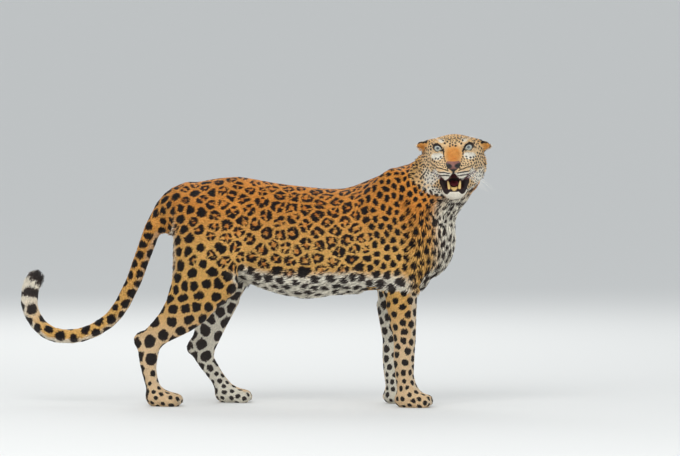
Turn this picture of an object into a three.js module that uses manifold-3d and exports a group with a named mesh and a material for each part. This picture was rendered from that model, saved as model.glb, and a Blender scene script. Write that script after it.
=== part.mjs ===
// A standing leopard at life size, with its head turned to its right and raised, its mouth open and its tail
// hanging in a curl. Millimetres: +X runs forwards along the body, +Y to the animal's left, +Z up, floor at 0.
// The flesh is one smooth shape, given by fields, which is turned into meshes and parted by thin cuts. Sizes are
// those of the outline, out to the tips of the coat.

import * as THREE from "three";
import { mergeVertices } from "three/addons/utils/BufferGeometryUtils.js";
import Module from "manifold-3d";

const wasm = await Module();
wasm.setup();

// Driving dimensions

const PARTING_GAP = 0.6; // between two pieces that meet at a cut
const WIDE = 600; // past the animal on both sides
const HUGE = 2000; // past the animal on every side
const FOOT_DEPTH = 3; // of the paws' undersides below the floor, before they are cut
const WITHERS_X = 270;
const NEAR = -1; // the animal's right side, and the sign of its Y
const FAR = 1; // the animal's left side
const degrees = THREE.MathUtils.degToRad;

// Fields. A field takes a point and gives about its distance from a surface in millimetres, negative inside.

const v3 = (x, y, z) => new THREE.Vector3(x, y, z);

function join(width, ...fields) {
  return (p) => {
    let all = fields[0](p);
    for (let i = 1; i < fields.length; i++) {
      const next = fields[i](p);
      const near = Math.max(width - Math.abs(all - next), 0) / width;
      all = Math.min(all, next) - near * near * width * 0.25;
    }
    return all;
  };
}

function carve(width, field, hollow) {
  return (p) => {
    const a = field(p);
    const b = -hollow(p);
    const near = Math.max(width - Math.abs(a - b), 0) / width;
    return Math.max(a, b) + near * near * width * 0.25;
  };
}

// An ellipsoid with its three radii along X, Y and Z, then turned about those axes, in degrees.
function lump([x, y, z], [rx, ry, rz], [turnX, turnY, turnZ] = [0, 0, 0]) {
  const turn = new THREE.Euler(degrees(turnX), degrees(turnY), degrees(turnZ));
  const back = new THREE.Matrix4().makeRotationFromEuler(turn).transpose();
  const q = v3(0, 0, 0);
  return (p) => {
    q.set(p.x - x, p.y - y, p.z - z).applyMatrix4(back);
    const a = Math.hypot(q.x / rx, q.y / ry, q.z / rz);
    const b = Math.hypot(q.x / rx ** 2, q.y / ry ** 2, q.z / rz ** 2);
    return b < 1e-9 ? -Math.min(rx, ry, rz) : (a * (a - 1)) / b;
  };
}

// A smooth value between the rows of a table whose first column is the position.
function along(rows, column, at) {
  const last = rows.length - 1;
  if (at <= rows[0][0]) return rows[0][column];
  if (at >= rows[last][0]) return rows[last][column];
  let i = 0;
  while (at > rows[i + 1][0]) i++;
  const [a, b] = [rows[i], rows[i + 1]];
  const [before, after] = [rows[Math.max(i - 1, 0)], rows[Math.min(i + 2, last)]];
  const span = b[0] - a[0];
  const t = (at - a[0]) / span;
  const slopeA = ((b[column] - before[column]) / (b[0] - before[0])) * span;
  const slopeB = ((after[column] - a[column]) / (after[0] - a[0])) * span;
  const t2 = t * t;
  const t3 = t2 * t;
  return (
    (2 * t3 - 3 * t2 + 1) * a[column] +
    (t3 - 2 * t2 + t) * slopeA +
    (3 * t2 - 2 * t3) * b[column] +
    (t3 - t2) * slopeB
  );
}

// A barrel along X. Its rows are [x, top, underside, half width, share of the height where it is widest].
function barrel(rows) {
  const [first, last] = [rows[0][0], rows[rows.length - 1][0]];
  return (p) => {
    const x = Math.min(Math.max(p.x, first), last);
    const top = along(rows, 1, x);
    const under = along(rows, 2, x);
    const half = along(rows, 3, x);
    const widest = under + (top - under) * along(rows, 4, x);
    const height = p.z > widest ? top - widest : widest - under;
    const out = Math.hypot(p.y / half, (p.z - widest) / height, (p.x - x) / half);
    const reach = Math.hypot(p.y, p.z - widest, p.x - x);
    return out < 1e-6 ? -half : reach - reach / out;
  };
}

// A limb through stations [x, y, z, half depth, half width]. Width lies along Y and depth in the limb's own plane.
function limb(stations, steps = 5) {
  const curve = new THREE.CatmullRomCurve3(
    stations.map(([x, y, z]) => v3(x, y, z)),
    false,
    "centripetal",
  );
  const rows = stations.map(([, , , deep, wide], i) => [i, deep, wide]);
  const count = (stations.length - 1) * steps;
  const rings = [];
  for (let i = 0; i <= count; i++) {
    const at = curve.getPoint(i / count);
    const station = (i / count) * (stations.length - 1);
    rings.push({ at, deep: along(rows, 1, station), wide: along(rows, 2, station) });
  }
  const bones = rings.slice(1).map((end, i) => {
    const start = rings[i];
    const way = end.at.clone().sub(start.at);
    const length = way.length();
    way.normalize();
    const side = v3(0, 1, 0).addScaledVector(way, -way.y).normalize();
    return { start, end, way, length, side, deep: way.clone().cross(side) };
  });
  const box = new THREE.Box3().setFromPoints(rings.map((r) => r.at));
  box.expandByScalar(Math.max(...rings.map((r) => Math.max(r.deep, r.wide))));
  const q = v3(0, 0, 0);
  return (p) => {
    const outside = box.distanceToPoint(p);
    if (outside > 60) return outside;
    let nearest = Infinity;
    for (const { start, end, way, length, side, deep } of bones) {
      q.subVectors(p, start.at);
      const t = Math.min(Math.max(q.dot(way) / length, 0), 1);
      q.addScaledVector(way, -t * length);
      const halfDeep = start.deep + (end.deep - start.deep) * t;
      const halfWide = start.wide + (end.wide - start.wide) * t;
      const past = q.dot(way) / Math.min(halfDeep, halfWide);
      const out = Math.hypot(q.dot(side) / halfWide, q.dot(deep) / halfDeep, past);
      const reach = q.length();
      const away = out < 1e-6 ? -Math.min(halfDeep, halfWide) : reach - reach / out;
      if (away < nearest) nearest = away;
    }
    return nearest;
  };
}

// Turns a field written in a frame of its own into one in the body's frame.
function placed(field, matrix) {
  const inverse = matrix.clone().invert();
  const q = v3(0, 0, 0);
  return (p) => field(q.copy(p).applyMatrix4(inverse));
}

// The trunk: ribs, waist and pelvis, with the rump and the breast rounded off by lumps

const TRUNK_ROWS = [
  [-335, 572, 452, 50, 0.55],
  [-283, 602, 405, 76, 0.55],
  [-175, 619, 352, 86, 0.56],
  [-80, 605, 308, 86, 0.54],
  [20, 592, 290, 98, 0.5],
  [110, 588, 300, 106, 0.48],
  [200, 607, 303, 104, 0.46],
  [WITHERS_X, 636, 311, 90, 0.44],
  [335, 600, 322, 76, 0.44],
  [362, 540, 360, 58, 0.5],
];
const trunk = join(
  30,
  barrel(TRUNK_ROWS),
  lump([-318, 0, 528], [48, 74, 66]),
  lump([338, 0, 424], [46, 55, 80]),
);

// The neck rises from the chest and bends to the animal's right, up to the back of the skull

const neck = limb([
  [250, 0, 500, 118, 84],
  [317, -3, 549, 102, 84],
  [362, -22, 588, 92, 82],
  [398, -52, 626, 84, 80],
  [424, -84, 654, 78, 76],
]);

// The tail hangs from the rump and its end curls up

const TAIL = [
  [-300, 0, 566, 34],
  [-352, -2, 538, 33],
  [-390, -4, 491, 27],
  [-423, -6, 410, 25],
  [-457, -8, 319, 24],
  [-511, -10, 232, 23],
  [-597, -10, 186, 22.5],
  [-682, -4, 192, 23],
  [-731, 4, 248, 24.5],
  [-734, 10, 306, 27],
  [-722, 12, 334, 24],
];
const tail = limb(TAIL.map(([x, y, z, r]) => [x, y, z, r, r]));

// Legs. Each pair has the same bones and muscles, set at another stride.

// A forepaw or hind paw: four toes in a fan and the palm behind them, which is cut flat by the floor.
function paw(x, y, half, length) {
  const toes = [-1.5, -0.5, 0.5, 1.5].map((i) => {
    const reach = length * (Math.abs(i) > 1 ? 0.2 : 0.3);
    return lump([x + reach, y + i * half * 0.46, 17], [length * 0.24, half * 0.3, 21]);
  });
  const palm = lump([x - length * 0.1, y, 20], [length * 0.4, half * 0.86, 26]);
  return join(9, palm, ...toes);
}

// sway moves the whole leg along X, to where the stride puts it.
function foreleg(side, sway) {
  const y = (half) => side * half;
  const shoulderBlade = lump([232, y(66), 540], [52, 30, 104], [0, 16, 0]);
  const upperArm = lump([312, y(64), 440], [58, 38, 82], [0, -14, 0]);
  const triceps = lump([252, y(68), 400], [70, 34, 78], [0, 24, 0]);
  const forearm = limb([
    [262 + sway * 0.4, y(76), 372, 62, 34],
    [272 + sway * 0.7, y(80), 320, 52, 37],
    [278 + sway, y(79), 255, 42, 35],
    [284 + sway, y(76), 175, 34, 31],
    [282 + sway, y(74), 128, 32, 32],
    [284 + sway, y(73), 78, 28, 31],
    [296 + sway, y(72), 34, 30, 34],
  ]);
  return {
    shoulder: join(36, shoulderBlade, upperArm, triceps),
    leg: join(16, forearm, paw(306 + sway, y(72), 42, 106)),
  };
}

// stations run from the hip to the toes as [x, z, half depth]. The heel is the point of the hock.
function hindleg(side, { stations, knee, heel, toes }) {
  const HALF_WIDTHS = [44, 52, 48, 40, 33, 26, 21, 20, 20, 19, 21, 24];
  const OUT = [56, 64, 70, 73, 75, 76, 77, 78, 78, 79, 79, 80];
  const bones = limb(
    stations.map(([x, z, deep], i) => [x, side * OUT[i], z, deep, HALF_WIDTHS[i]]),
  );
  return join(
    18,
    bones,
    lump([knee[0], side * 74, knee[1]], [40, 32, 44]),
    lump([heel[0], side * 77, heel[1]], [19, 15, 24], [0, 24, 0]),
    paw(toes, side * 80, 37, 100),
  );
}

const nearForeleg = foreleg(NEAR, 4);
const farForeleg = foreleg(FAR, -36);
const nearHindleg = hindleg(NEAR, {
  stations: [
    [-243, 520, 88],
    [-250, 424, 90],
    [-256, 350, 86],
    [-278, 300, 76],
    [-312, 252, 60],
    [-348, 219, 46],
    [-380, 193, 37],
    [-400, 166, 34],
    [-405, 137, 31],
    [-404, 104, 25],
    [-396, 66, 21],
    [-386, 34, 23],
  ],
  knee: [-196, 326],
  heel: [-430, 182],
  toes: -362,
});
const farHindleg = hindleg(FAR, {
  stations: [
    [-224, 520, 86],
    [-217, 424, 86],
    [-217, 350, 78],
    [-226, 300, 66],
    [-239, 250, 55],
    [-251, 208, 46],
    [-261, 172, 40],
    [-270, 144, 35],
    [-264, 118, 29],
    [-248, 92, 25],
    [-228, 62, 22],
    [-212, 34, 24],
  ],
  knee: [-184, 332],
  heel: [-300, 152],
  toes: -188,
});

// The head, in a frame of its own: X forwards along the row of upper teeth, Y to the left, Z up, and the origin
// midway between the eyes.

const HEAD_AT = v3(422, -138, 700);
const HEAD_YAW = -87.5; // from +X towards -Y
const HEAD_PITCH = 10; // nose down
const HEAD_ROLL = 2; // left eye up
const GAPE = 16; // of the jaw
const JAW_HINGE = [-50, 0, -55];
const EYE_SPREAD = 37;
const EYE_RADIUS = 16;
const EYE_DEPTH = -6; // of the ball's middle
const headFrame = new THREE.Matrix4().compose(
  HEAD_AT,
  new THREE.Quaternion().setFromEuler(
    new THREE.Euler(degrees(HEAD_ROLL), degrees(HEAD_PITCH), degrees(HEAD_YAW), "ZYX"),
  ),
  v3(1, 1, 1),
);
const both = (make) => [make(1), make(-1)];

const skull = join(
  20,
  lump([-62, 0, -17], [60, 58, 38]),
  lump([-24, 0, -2], [38, 42, 27]),
  ...both((s) => lump([-40, s * 43, -28], [46, 33, 40], [0, 0, s * -14])),
  ...both((s) => lump([-56, s * 42, -58], [42, 33, 36])),
);
const muzzle = join(
  14,
  lump([18, 0, -14], [48, 22, 21], [0, 15, 0]),
  lump([56, 0, -32], [30, 20, 17], [0, 6, 0]),
  lump([68, 0, -44], [15, 16, 17]),
  ...both((s) => lump([48, s * 24, -47], [33, 24, 22], [0, 0, s * -14])),
  ...both((s) => lump([10, s * 36, -42], [36, 24, 28], [0, 0, s * -18])),
);
const brows = both((s) => lump([-12, s * 33, 14], [19, 22, 10], [0, -8, s * -16]));
const underEyes = both((s) => lump([3, s * 40, -21], [17, 21, 8], [0, 14, s * -26]));
const eyeHollows = join(4, ...both((s) => lump([15, s * 42, 1], [15, 15, 11], [0, 0, s * 24])));

// The lower jaw, drawn shut and then opened about its hinge.
const jawTurn = new THREE.Matrix4()
  .makeTranslation(...JAW_HINGE)
  .multiply(new THREE.Matrix4().makeRotationY(degrees(GAPE)))
  .multiply(new THREE.Matrix4().makeTranslation(...JAW_HINGE.map((n) => -n)));
const jawBones = placed(
  join(
    16,
    lump([47, 0, -86], [27, 30, 21], [0, 8, 0]),
    ...both((s) => lump([18, s * 27, -76], [46, 17, 20], [0, 0, s * -16])),
    ...both((s) => lump([-26, s * 40, -68], [36, 24, 30])),
  ),
  jawTurn,
);

// The open mouth is a wedge between the lips, with room above for the palate.
const MOUTH_CORNER = 14;
function mouth(p) {
  const slope = Math.tan(degrees(GAPE + 3));
  const upper = p.z + 60 - Math.max(0, 10 - Math.abs(p.y) * 0.5) * 0.7;
  const lower = -62 - Math.max(p.x - MOUTH_CORNER, 0) * slope - p.z;
  return Math.max(upper, lower, MOUTH_CORNER - p.x);
}
const palate = lump([40, 0, -60], [34, 17, 11]);

// An ear laid out sideways: half of an ellipsoid, hollowed from the side that it opens to.
const EAR_LENGTH = 56;
const EAR_ROOT = 22; // where the ear is parted from the head, along it
function earFrame(s) {
  const lift = s === FAR ? -0.02 : 0.12;
  const tip = v3(-0.2, s * 0.98, lift).normalize();
  const open = v3(0.6, s * 0.05, -0.8);
  open.addScaledVector(tip, -open.dot(tip)).normalize();
  const across = v3(0, 0, 0).crossVectors(open, tip);
  return new THREE.Matrix4().makeBasis(tip, across, open).setPosition(-56, s * 44, -8);
}
function ear(s) {
  const shell = lump([0, 0, 0], [EAR_LENGTH, 27, 20]);
  const cup = lump([0, 0, 12], [EAR_LENGTH - 9, 19, 20]);
  const rim = (p) => p.z - 8;
  return placed((p) => Math.max(shell(p), -cup(p), rim(p)), earFrame(s));
}

const headSkin = join(14, skull, muzzle, ...brows, ...underEyes, jawBones);
const headWhole = carve(6, carve(4, carve(5, headSkin, eyeHollows), mouth), palate);
const earField = { 1: placed(ear(1), headFrame), [-1]: placed(ear(-1), headFrame) };
const head = placed(headWhole, headFrame);

// The whole animal

const underFloor = (p) => -p.z - FOOT_DEPTH; // what reaches below the floor is cut off flat later
const torso = join(
  44,
  trunk,
  neck,
  nearForeleg.shoulder,
  farForeleg.shoulder,
);
const legs = join(24, torso, nearForeleg.leg, farForeleg.leg, nearHindleg, farHindleg);
const body = join(20, legs, tail);
const animal = join(10, join(22, body, head), earField[1], earField[-1]);
const standing = (p) => Math.max(animal(p), underFloor(p));

// Meshing: marching through tetrahedra, which always gives a closed surface, then collapsing short edges

// The six tetrahedra of a cube, by the numbers of its corners: 1 is +X, 2 is +Y and 4 is +Z.
const TETRAHEDRA = [
  [0, 1, 3, 7],
  [0, 3, 2, 7],
  [0, 2, 6, 7],
  [0, 6, 4, 7],
  [0, 4, 5, 7],
  [0, 5, 1, 7],
];

function meshOf(field, box, step) {
  const size = box.getSize(v3(0, 0, 0)).divideScalar(step).ceil();
  const [nx, ny, nz] = [size.x + 1, size.y + 1, size.z + 1];
  const values = new Float64Array(nx * ny * nz);
  const place = (i, j, k) => v3(box.min.x + i * step, box.min.y + j * step, box.min.z + k * step);
  const edge = (i, j, k) =>
    i === 0 || j === 0 || k === 0 || i === nx - 1 || j === ny - 1 || k === nz - 1;
  for (let k = 0, n = 0; k < nz; k++)
    for (let j = 0; j < ny; j++)
      for (let i = 0; i < nx; i++, n++) {
        const value = field(place(i, j, k));
        values[n] = edge(i, j, k) ? Math.max(value, step * 0.1) : value || 1e-6;
      }
  const points = [];
  const made = new Map();
  const faces = [];
  const corner = (n) => {
    const i = n % nx;
    const j = Math.floor(n / nx) % ny;
    return place(i, j, Math.floor(n / (nx * ny)));
  };
  const crossing = (a, b) => {
    const key = a < b ? a * values.length + b : b * values.length + a;
    if (!made.has(key)) {
      const t = Math.min(Math.max(values[a] / (values[a] - values[b]), 0.02), 0.98);
      made.set(key, points.length);
      points.push(corner(a).lerp(corner(b), t));
    }
    return made.get(key);
  };
  const offsets = Array.from({ length: 8 }, (_, c) => (c & 1) + ((c >> 1) & 1) * nx + (c >> 2) * nx * ny);
  for (let k = 0; k < nz - 1; k++)
    for (let j = 0; j < ny - 1; j++)
      for (let i = 0; i < nx - 1; i++) {
        const base = i + j * nx + k * nx * ny;
        const inside = offsets.filter((o) => values[base + o] < 0).length;
        if (inside === 0 || inside === 8) continue;
        for (const tetra of TETRAHEDRA) {
          const ids = tetra.map((c) => base + offsets[c]);
          const low = ids.filter((n) => values[n] < 0);
          const high = ids.filter((n) => values[n] >= 0);
          if (low.length === 0 || high.length === 0) continue;
          const ring =
            low.length === 2
              ? [[0, 0], [0, 1], [1, 1], [1, 0]].map(([a, b]) => crossing(low[a], high[b]))
              : low.length === 1
                ? high.map((h) => crossing(low[0], h))
                : low.map((l) => crossing(l, high[0]));
          const outwards = corner(high[0]).sub(corner(low[0]));
          const [a, b, c] = ring.map((n) => points[n]);
          const facing = b.clone().sub(a).cross(c.clone().sub(a)).dot(outwards);
          const turned = facing < 0 ? [...ring].reverse() : ring;
          faces.push([turned[0], turned[1], turned[2]]);
          if (turned.length === 4) faces.push([turned[0], turned[2], turned[3]]);
        }
      }
  return { points, faces };
}

// Collapses edges, cheapest first, until that many faces are left. The cost of an edge is the squared distance
// from its new point to the planes of the faces that it stands for.
function thinned({ points, faces }, count) {
  const quadrics = points.map(() => new Float64Array(10));
  const around = points.map(() => new Set());
  const normalOf = (a, b, c) => b.clone().sub(a).cross(c.clone().sub(a));
  faces.forEach((face, f) => {
    const [a, b, c] = face.map((n) => points[n]);
    const normal = normalOf(a, b, c);
    const area = normal.length();
    normal.normalize();
    const plane = [normal.x, normal.y, normal.z, -normal.dot(a)];
    for (const n of face) {
      around[n].add(f);
      for (let i = 0, at = 0; i < 4; i++)
        for (let j = i; j < 4; j++, at++) quadrics[n][at] += area * plane[i] * plane[j];
    }
  });
  const error = (q, p) =>
    q[0] * p.x * p.x + q[4] * p.y * p.y + q[7] * p.z * p.z + q[9] +
    2 * (q[1] * p.x * p.y + q[2] * p.x * p.z + q[3] * p.x + q[5] * p.y * p.z + q[6] * p.y + q[8] * p.z);
  const best = (q, a, b) => {
    const middle = a.clone().lerp(b, 0.5);
    const matrix = new THREE.Matrix3().set(q[0], q[1], q[2], q[1], q[4], q[5], q[2], q[5], q[7]);
    const size = (q[0] + q[4] + q[7]) / 3;
    if (Math.abs(matrix.determinant()) < 1e-3 * size ** 3) return middle;
    const point = v3(-q[3], -q[6], -q[8]).applyMatrix3(matrix.invert());
    return point.distanceTo(middle) > a.distanceTo(b) ? middle : point;
  };

  const heap = [];
  const swap = (i, j) => ([heap[i], heap[j]] = [heap[j], heap[i]]);
  const push = (entry) => {
    heap.push(entry);
    let i = heap.length - 1;
    while (i > 0 && heap[(i - 1) >> 1].cost > heap[i].cost) {
      swap(i, (i - 1) >> 1);
      i = (i - 1) >> 1;
    }
  };
  const pop = () => {
    swap(0, heap.length - 1);
    const entry = heap.pop();
    for (let i = 0; ; ) {
      let least = i;
      for (const child of [2 * i + 1, 2 * i + 2])
        if (child < heap.length && heap[child].cost < heap[least].cost) least = child;
      if (least === i) return entry;
      swap(i, least);
      i = least;
    }
  };

  const version = points.map(() => 0);
  const offer = (a, b) => {
    const q = quadrics[a].map((value, i) => value + quadrics[b][i]);
    const at = best(q, points[a], points[b]);
    const length = points[a].distanceToSquared(points[b]);
    push({ cost: error(q, at) + length * 0.02, a, b, at, stamps: [version[a], version[b]] });
  };
  const neighbours = (n) => new Set([...around[n]].flatMap((f) => faces[f]).filter((m) => m !== n));
  const flips = (n, other, at) =>
    [...around[n]].some((f) => {
      if (faces[f].includes(other)) return false;
      const old = faces[f].map((m) => points[m]);
      const moved = faces[f].map((m) => (m === n ? at : points[m]));
      const [before, after] = [normalOf(...old), normalOf(...moved)];
      return before.dot(after) < 0.3 * before.length() * after.length() || after.length() < 0.5;
    });

  faces.forEach((face) =>
    face.forEach((a, i) => {
      const b = face[(i + 1) % 3];
      if (a < b) offer(a, b);
    }),
  );
  let left = faces.length;
  while (left > count && heap.length > 0) {
    const { a, b, at, stamps } = pop();
    if (version[a] !== stamps[0] || version[b] !== stamps[1]) continue;
    const shared = [...neighbours(a)].filter((n) => neighbours(b).has(n));
    if (shared.length !== 2 || flips(a, b, at) || flips(b, a, at)) continue;
    points[a] = at;
    quadrics[a] = quadrics[a].map((value, i) => value + quadrics[b][i]);
    for (const f of around[b]) {
      if (faces[f].includes(a)) {
        faces[f].forEach((n) => n !== b && around[n].delete(f));
        faces[f] = null;
        left--;
      } else {
        faces[f] = faces[f].map((n) => (n === b ? a : n));
        around[a].add(f);
      }
    }
    around[b].clear();
    version[a]++;
    version[b] = -1;
    for (const n of neighbours(a)) offer(a, n);
  }
  return { points, faces: faces.filter(Boolean) };
}

// Solids

function solidOf({ points, faces }) {
  const used = [...new Set(faces.flat())];
  const renumbered = new Map(used.map((n, i) => [n, i]));
  const vertProperties = new Float32Array(used.flatMap((n) => points[n].toArray()));
  const triVerts = new Uint32Array(faces.flat().map((n) => renumbered.get(n)));
  return new wasm.Manifold(new wasm.Mesh({ numProp: 3, vertProperties, triVerts }));
}

function solidFrom(geometry) {
  const bare = new THREE.BufferGeometry();
  bare.setAttribute("position", geometry.getAttribute("position"));
  bare.setIndex(geometry.getIndex());
  const merged = mergeVertices(bare, 1e-4);
  const position = merged.getAttribute("position");
  const points = Array.from({ length: position.count }, (_, i) => v3(0, 0, 0).fromBufferAttribute(position, i));
  const index = merged.getIndex().array;
  const faces = Array.from({ length: index.length / 3 }, (_, i) => [...index.slice(3 * i, 3 * i + 3)]);
  return solidOf({ points, faces: faces.filter(([a, b, c]) => a !== b && b !== c && c !== a) });
}

function geometryOf(solid) {
  const { numProp, vertProperties, triVerts } = solid.getMesh();
  const geometry = new THREE.BufferGeometry();
  geometry.setAttribute("position", new THREE.BufferAttribute(vertProperties, numProp));
  geometry.setIndex(new THREE.BufferAttribute(triVerts, 1));
  return geometry;
}

// A block that fills a box of the given frame, grown by some millimetres.
function block([x0, y0, z0], [x1, y1, z1], frame, grown = 0) {
  const extra = 2 * grown;
  const geometry = new THREE.BoxGeometry(x1 - x0 + extra, y1 - y0 + extra, z1 - z0 + extra);
  geometry.translate((x0 + x1) / 2, (y0 + y1) / 2, (z0 + z1) / 2);
  return solidFrom(geometry.applyMatrix4(frame));
}

// All that lies before a plane, by more than the inset.
function halfSpace(plane, inset) {
  const turn = new THREE.Quaternion().setFromUnitVectors(v3(0, 0, 1), plane.normal);
  const origin = plane.normal.clone().multiplyScalar(-plane.constant);
  const frame = new THREE.Matrix4().compose(origin, turn, v3(1, 1, 1));
  return block([-HUGE, -HUGE, inset], [HUGE, HUGE, HUGE], frame);
}

// A prism across the body on an outline in the side view, from one y to another, grown by some millimetres.
function prism(outline, fromY, toY, grown = 0) {
  const corners = outline.map(([x, z]) => new THREE.Vector2(x, z));
  const around = THREE.ShapeUtils.isClockWise(corners) ? corners.reverse() : corners;
  const moved = around.map((corner, i) => {
    const before = corner.clone().sub(around.at(i - 1)).normalize();
    const after = around[(i + 1) % around.length].clone().sub(corner).normalize();
    const out = new THREE.Vector2(before.y + after.y, -before.x - after.x);
    return corner.clone().addScaledVector(out, grown / (1 + before.dot(after)));
  });
  const shape = new THREE.Shape(moved);
  const depth = toY - fromY + 2 * grown;
  const geometry = new THREE.ExtrudeGeometry(shape, { depth, bevelEnabled: false });
  geometry.rotateX(Math.PI / 2);
  geometry.translate(0, toY + grown, 0);
  return solidFrom(geometry);
}

// Parts the solid in two: what is inside the prism, and what is outside it by the width of the cut.
function partBy(solid, outline, fromY = -WIDE, toY = WIDE) {
  const inside = solid.intersect(prism(outline, fromY, toY));
  const outside = solid.subtract(prism(outline, fromY, toY, PARTING_GAP));
  return [inside, outside];
}

// The body in one, then parted by thin cuts, each drawn in the side view

const BODY_STEP = 10; // of the grid that the body's mesh is made on
const BODY_FACES = 4200;
const bodyBox = new THREE.Box3(v3(-780, -190, -10), v3(540, 150, 760));
const bodyWhole = solidOf(thinned(meshOf(standing, bodyBox, BODY_STEP), BODY_FACES));

// Behind this plane across the back of the skull is the neck, and before it the head.
const NAPE = new THREE.Plane(v3(0.75, 0, 0.66).normalize(), 88);
const behindNape = halfSpace(NAPE.clone().applyMatrix4(headFrame).negate(), PARTING_GAP / 2);
const overFloor = halfSpace(new THREE.Plane(v3(0, 0, 1), 0), 0);
const headless = bodyWhole.intersect(behindNape).intersect(overFloor);

const [tailAll, tailless] = partBy(headless, [
  [-352, 600],
  [-337, 492],
  [-358, 440],
  [-375, 400],
  [-390, 330],
  [-462, 240],
  [-480, 60],
  [-900, 60],
  [-900, 600],
]);
const [tailBase, tailRest] = partBy(tailAll, [
  [-497, 339],
  [-410, 296],
  [-300, 300],
  [-300, 650],
  [-497, 650],
]);
const [tailTip, tailMiddle] = partBy(tailRest, [
  [-703, 137],
  [-659, 248],
  [-659, 500],
  [-900, 500],
  [-900, 137],
]);

const [neckPiece, bodyOnly] = partBy(tailless, [
  [418, 450],
  [345, 530],
  [246, 640],
  [246, 900],
  [700, 900],
  [700, 450],
]);

const HINDQUARTER = [
  [-480, -50],
  [-480, 470],
  [-345, 470],
  [-262, 420],
  [-140, 322],
  [-110, 250],
  [-110, -50],
];
const FOREQUARTER = [
  [180, -50],
  [180, 318],
  [420, 318],
  [420, -50],
];
const PAW_TOP = 62;
const PAWS = [
  [-600, -50],
  [-600, PAW_TOP],
  [600, PAW_TOP],
  [600, -50],
];

function legPieces(solid, quarter, side) {
  const [fromY, toY] = side === NEAR ? [-WIDE, -PARTING_GAP / 2] : [PARTING_GAP / 2, WIDE];
  const [leg, rest] = partBy(solid, quarter, fromY, toY);
  const [foot, upper] = partBy(leg, PAWS);
  return { upper, foot, rest };
}
const hindRight = legPieces(bodyOnly, HINDQUARTER, NEAR);
const hindLeft = legPieces(hindRight.rest, HINDQUARTER, FAR);
const foreRight = legPieces(hindLeft.rest, FOREQUARTER, NEAR);
const foreLeft = legPieces(foreRight.rest, FOREQUARTER, FAR);

// The head, in its own frame

const HEAD_STEP = 5;
const HEAD_FACES = 2200;
const headBox = new THREE.Box3(v3(-135, -125, -145), v3(110, 125, 75));
const inHead = (p) => standing(v3(0, 0, 0).copy(p).applyMatrix4(headFrame));
const headSolid = solidOf(thinned(meshOf(inHead, headBox, HEAD_STEP), HEAD_FACES));
const beforeNape = headSolid.intersect(halfSpace(NAPE, PARTING_GAP / 2));

const ball = (radius, detail) => new THREE.IcosahedronGeometry(radius, detail);
const eyeAt = (s) => v3(EYE_DEPTH, s * EYE_SPREAD, 0);
const socket = (s) => solidFrom(ball(EYE_RADIUS + 0.4, 3)).translate(eyeAt(s).toArray());
const JAW_CUT = [
  [-400, 7],
  [14, -61],
  [400, -127],
  [400, -400],
  [-400, -400],
];
const [jawFlesh, overJaw] = partBy(beforeNape.subtract(socket(1)).subtract(socket(-1)), JAW_CUT);
const NOSE_CUT = [
  [72, -42],
  [72, -14],
  [140, -14],
  [140, -42],
];
const [nosePad, noseless] = partBy(overJaw, NOSE_CUT, -19, 19);

// Each ear is what stands out past its root.
function earPieces(solid, s) {
  const from = [EAR_ROOT, -30, -24];
  const to = [EAR_LENGTH + 30, 30, 10];
  const inside = solid.intersect(block(from, to, earFrame(s)));
  return [inside, solid.subtract(block(from, to, earFrame(s), PARTING_GAP))];
}
const [earLeft, oneEared] = earPieces(noseless, 1);
const [earRight, headPiece] = earPieces(oneEared, -1);

// Lower canines and the six incisors between them, which are one with the jaw, and the tongue on its floor.
const CANINE_HEIGHT = 30;
const CANINE_RADIUS = 5.5;
const canineProfile = [
  [0, -8],
  [CANINE_RADIUS, -8],
  [CANINE_RADIUS * 0.95, 6],
  [CANINE_RADIUS * 0.6, CANINE_HEIGHT * 0.65],
  [CANINE_RADIUS * 0.25, CANINE_HEIGHT * 0.93],
  [0, CANINE_HEIGHT],
].map(([r, h]) => new THREE.Vector2(r, h));
function canine(s) {
  const geometry = new THREE.LatheGeometry(canineProfile, 10);
  geometry.rotateX(Math.PI / 2 - s * 0.14);
  geometry.rotateY(0.06);
  geometry.translate(60, s * 13, -75);
  return solidFrom(geometry.applyMatrix4(jawTurn));
}
function incisor(i) {
  const geometry = new THREE.SphereGeometry(1, 6, 4);
  geometry.scale(2.2, 1.5, 8);
  geometry.translate(68 - i * i * 0.5, i * 2.9, -66);
  return solidFrom(geometry.applyMatrix4(jawTurn));
}
function tongueSolid(grown) {
  const geometry = ball(1, 2);
  geometry.scale(36 + grown, 15 + grown, 6 + grown);
  geometry.translate(24, 0, -59);
  return solidFrom(geometry.applyMatrix4(jawTurn));
}
const tongue = tongueSolid(0).subtract(halfSpace(new THREE.Plane(v3(-1, 0, 0), MOUTH_CORNER - 4), 0));
const teeth = [canine(1), canine(-1), ...[-2.5, -1.5, -0.5, 0.5, 1.5, 2.5].map(incisor)];
const jaw = teeth.reduce((all, tooth) => all.add(tooth), jawFlesh).subtract(tongueSolid(0.4));
const headLast = headPiece.subtract(tongueSolid(0.4));

// The group

const finish = (name, color, roughness) => {
  const material = new THREE.MeshStandardMaterial({ color, roughness, metalness: 0 });
  material.name = name;
  return material;
};
const coat = finish("coat", 0xc98a45, 0.9);
const paleCoat = finish("pale_coat", 0xe2cfa8, 0.9);
const eyeball = finish("eyeball", 0xa9b59a, 0.1);
const noseSkin = finish("nose_skin", 0xa05a4c, 0.5);
const tongueSkin = finish("tongue_skin", 0xb5656a, 0.45);

function piece(name, geometry, material, group) {
  const mesh = new THREE.Mesh(geometry, material);
  mesh.name = name;
  group.add(mesh);
  return mesh;
}

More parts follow.
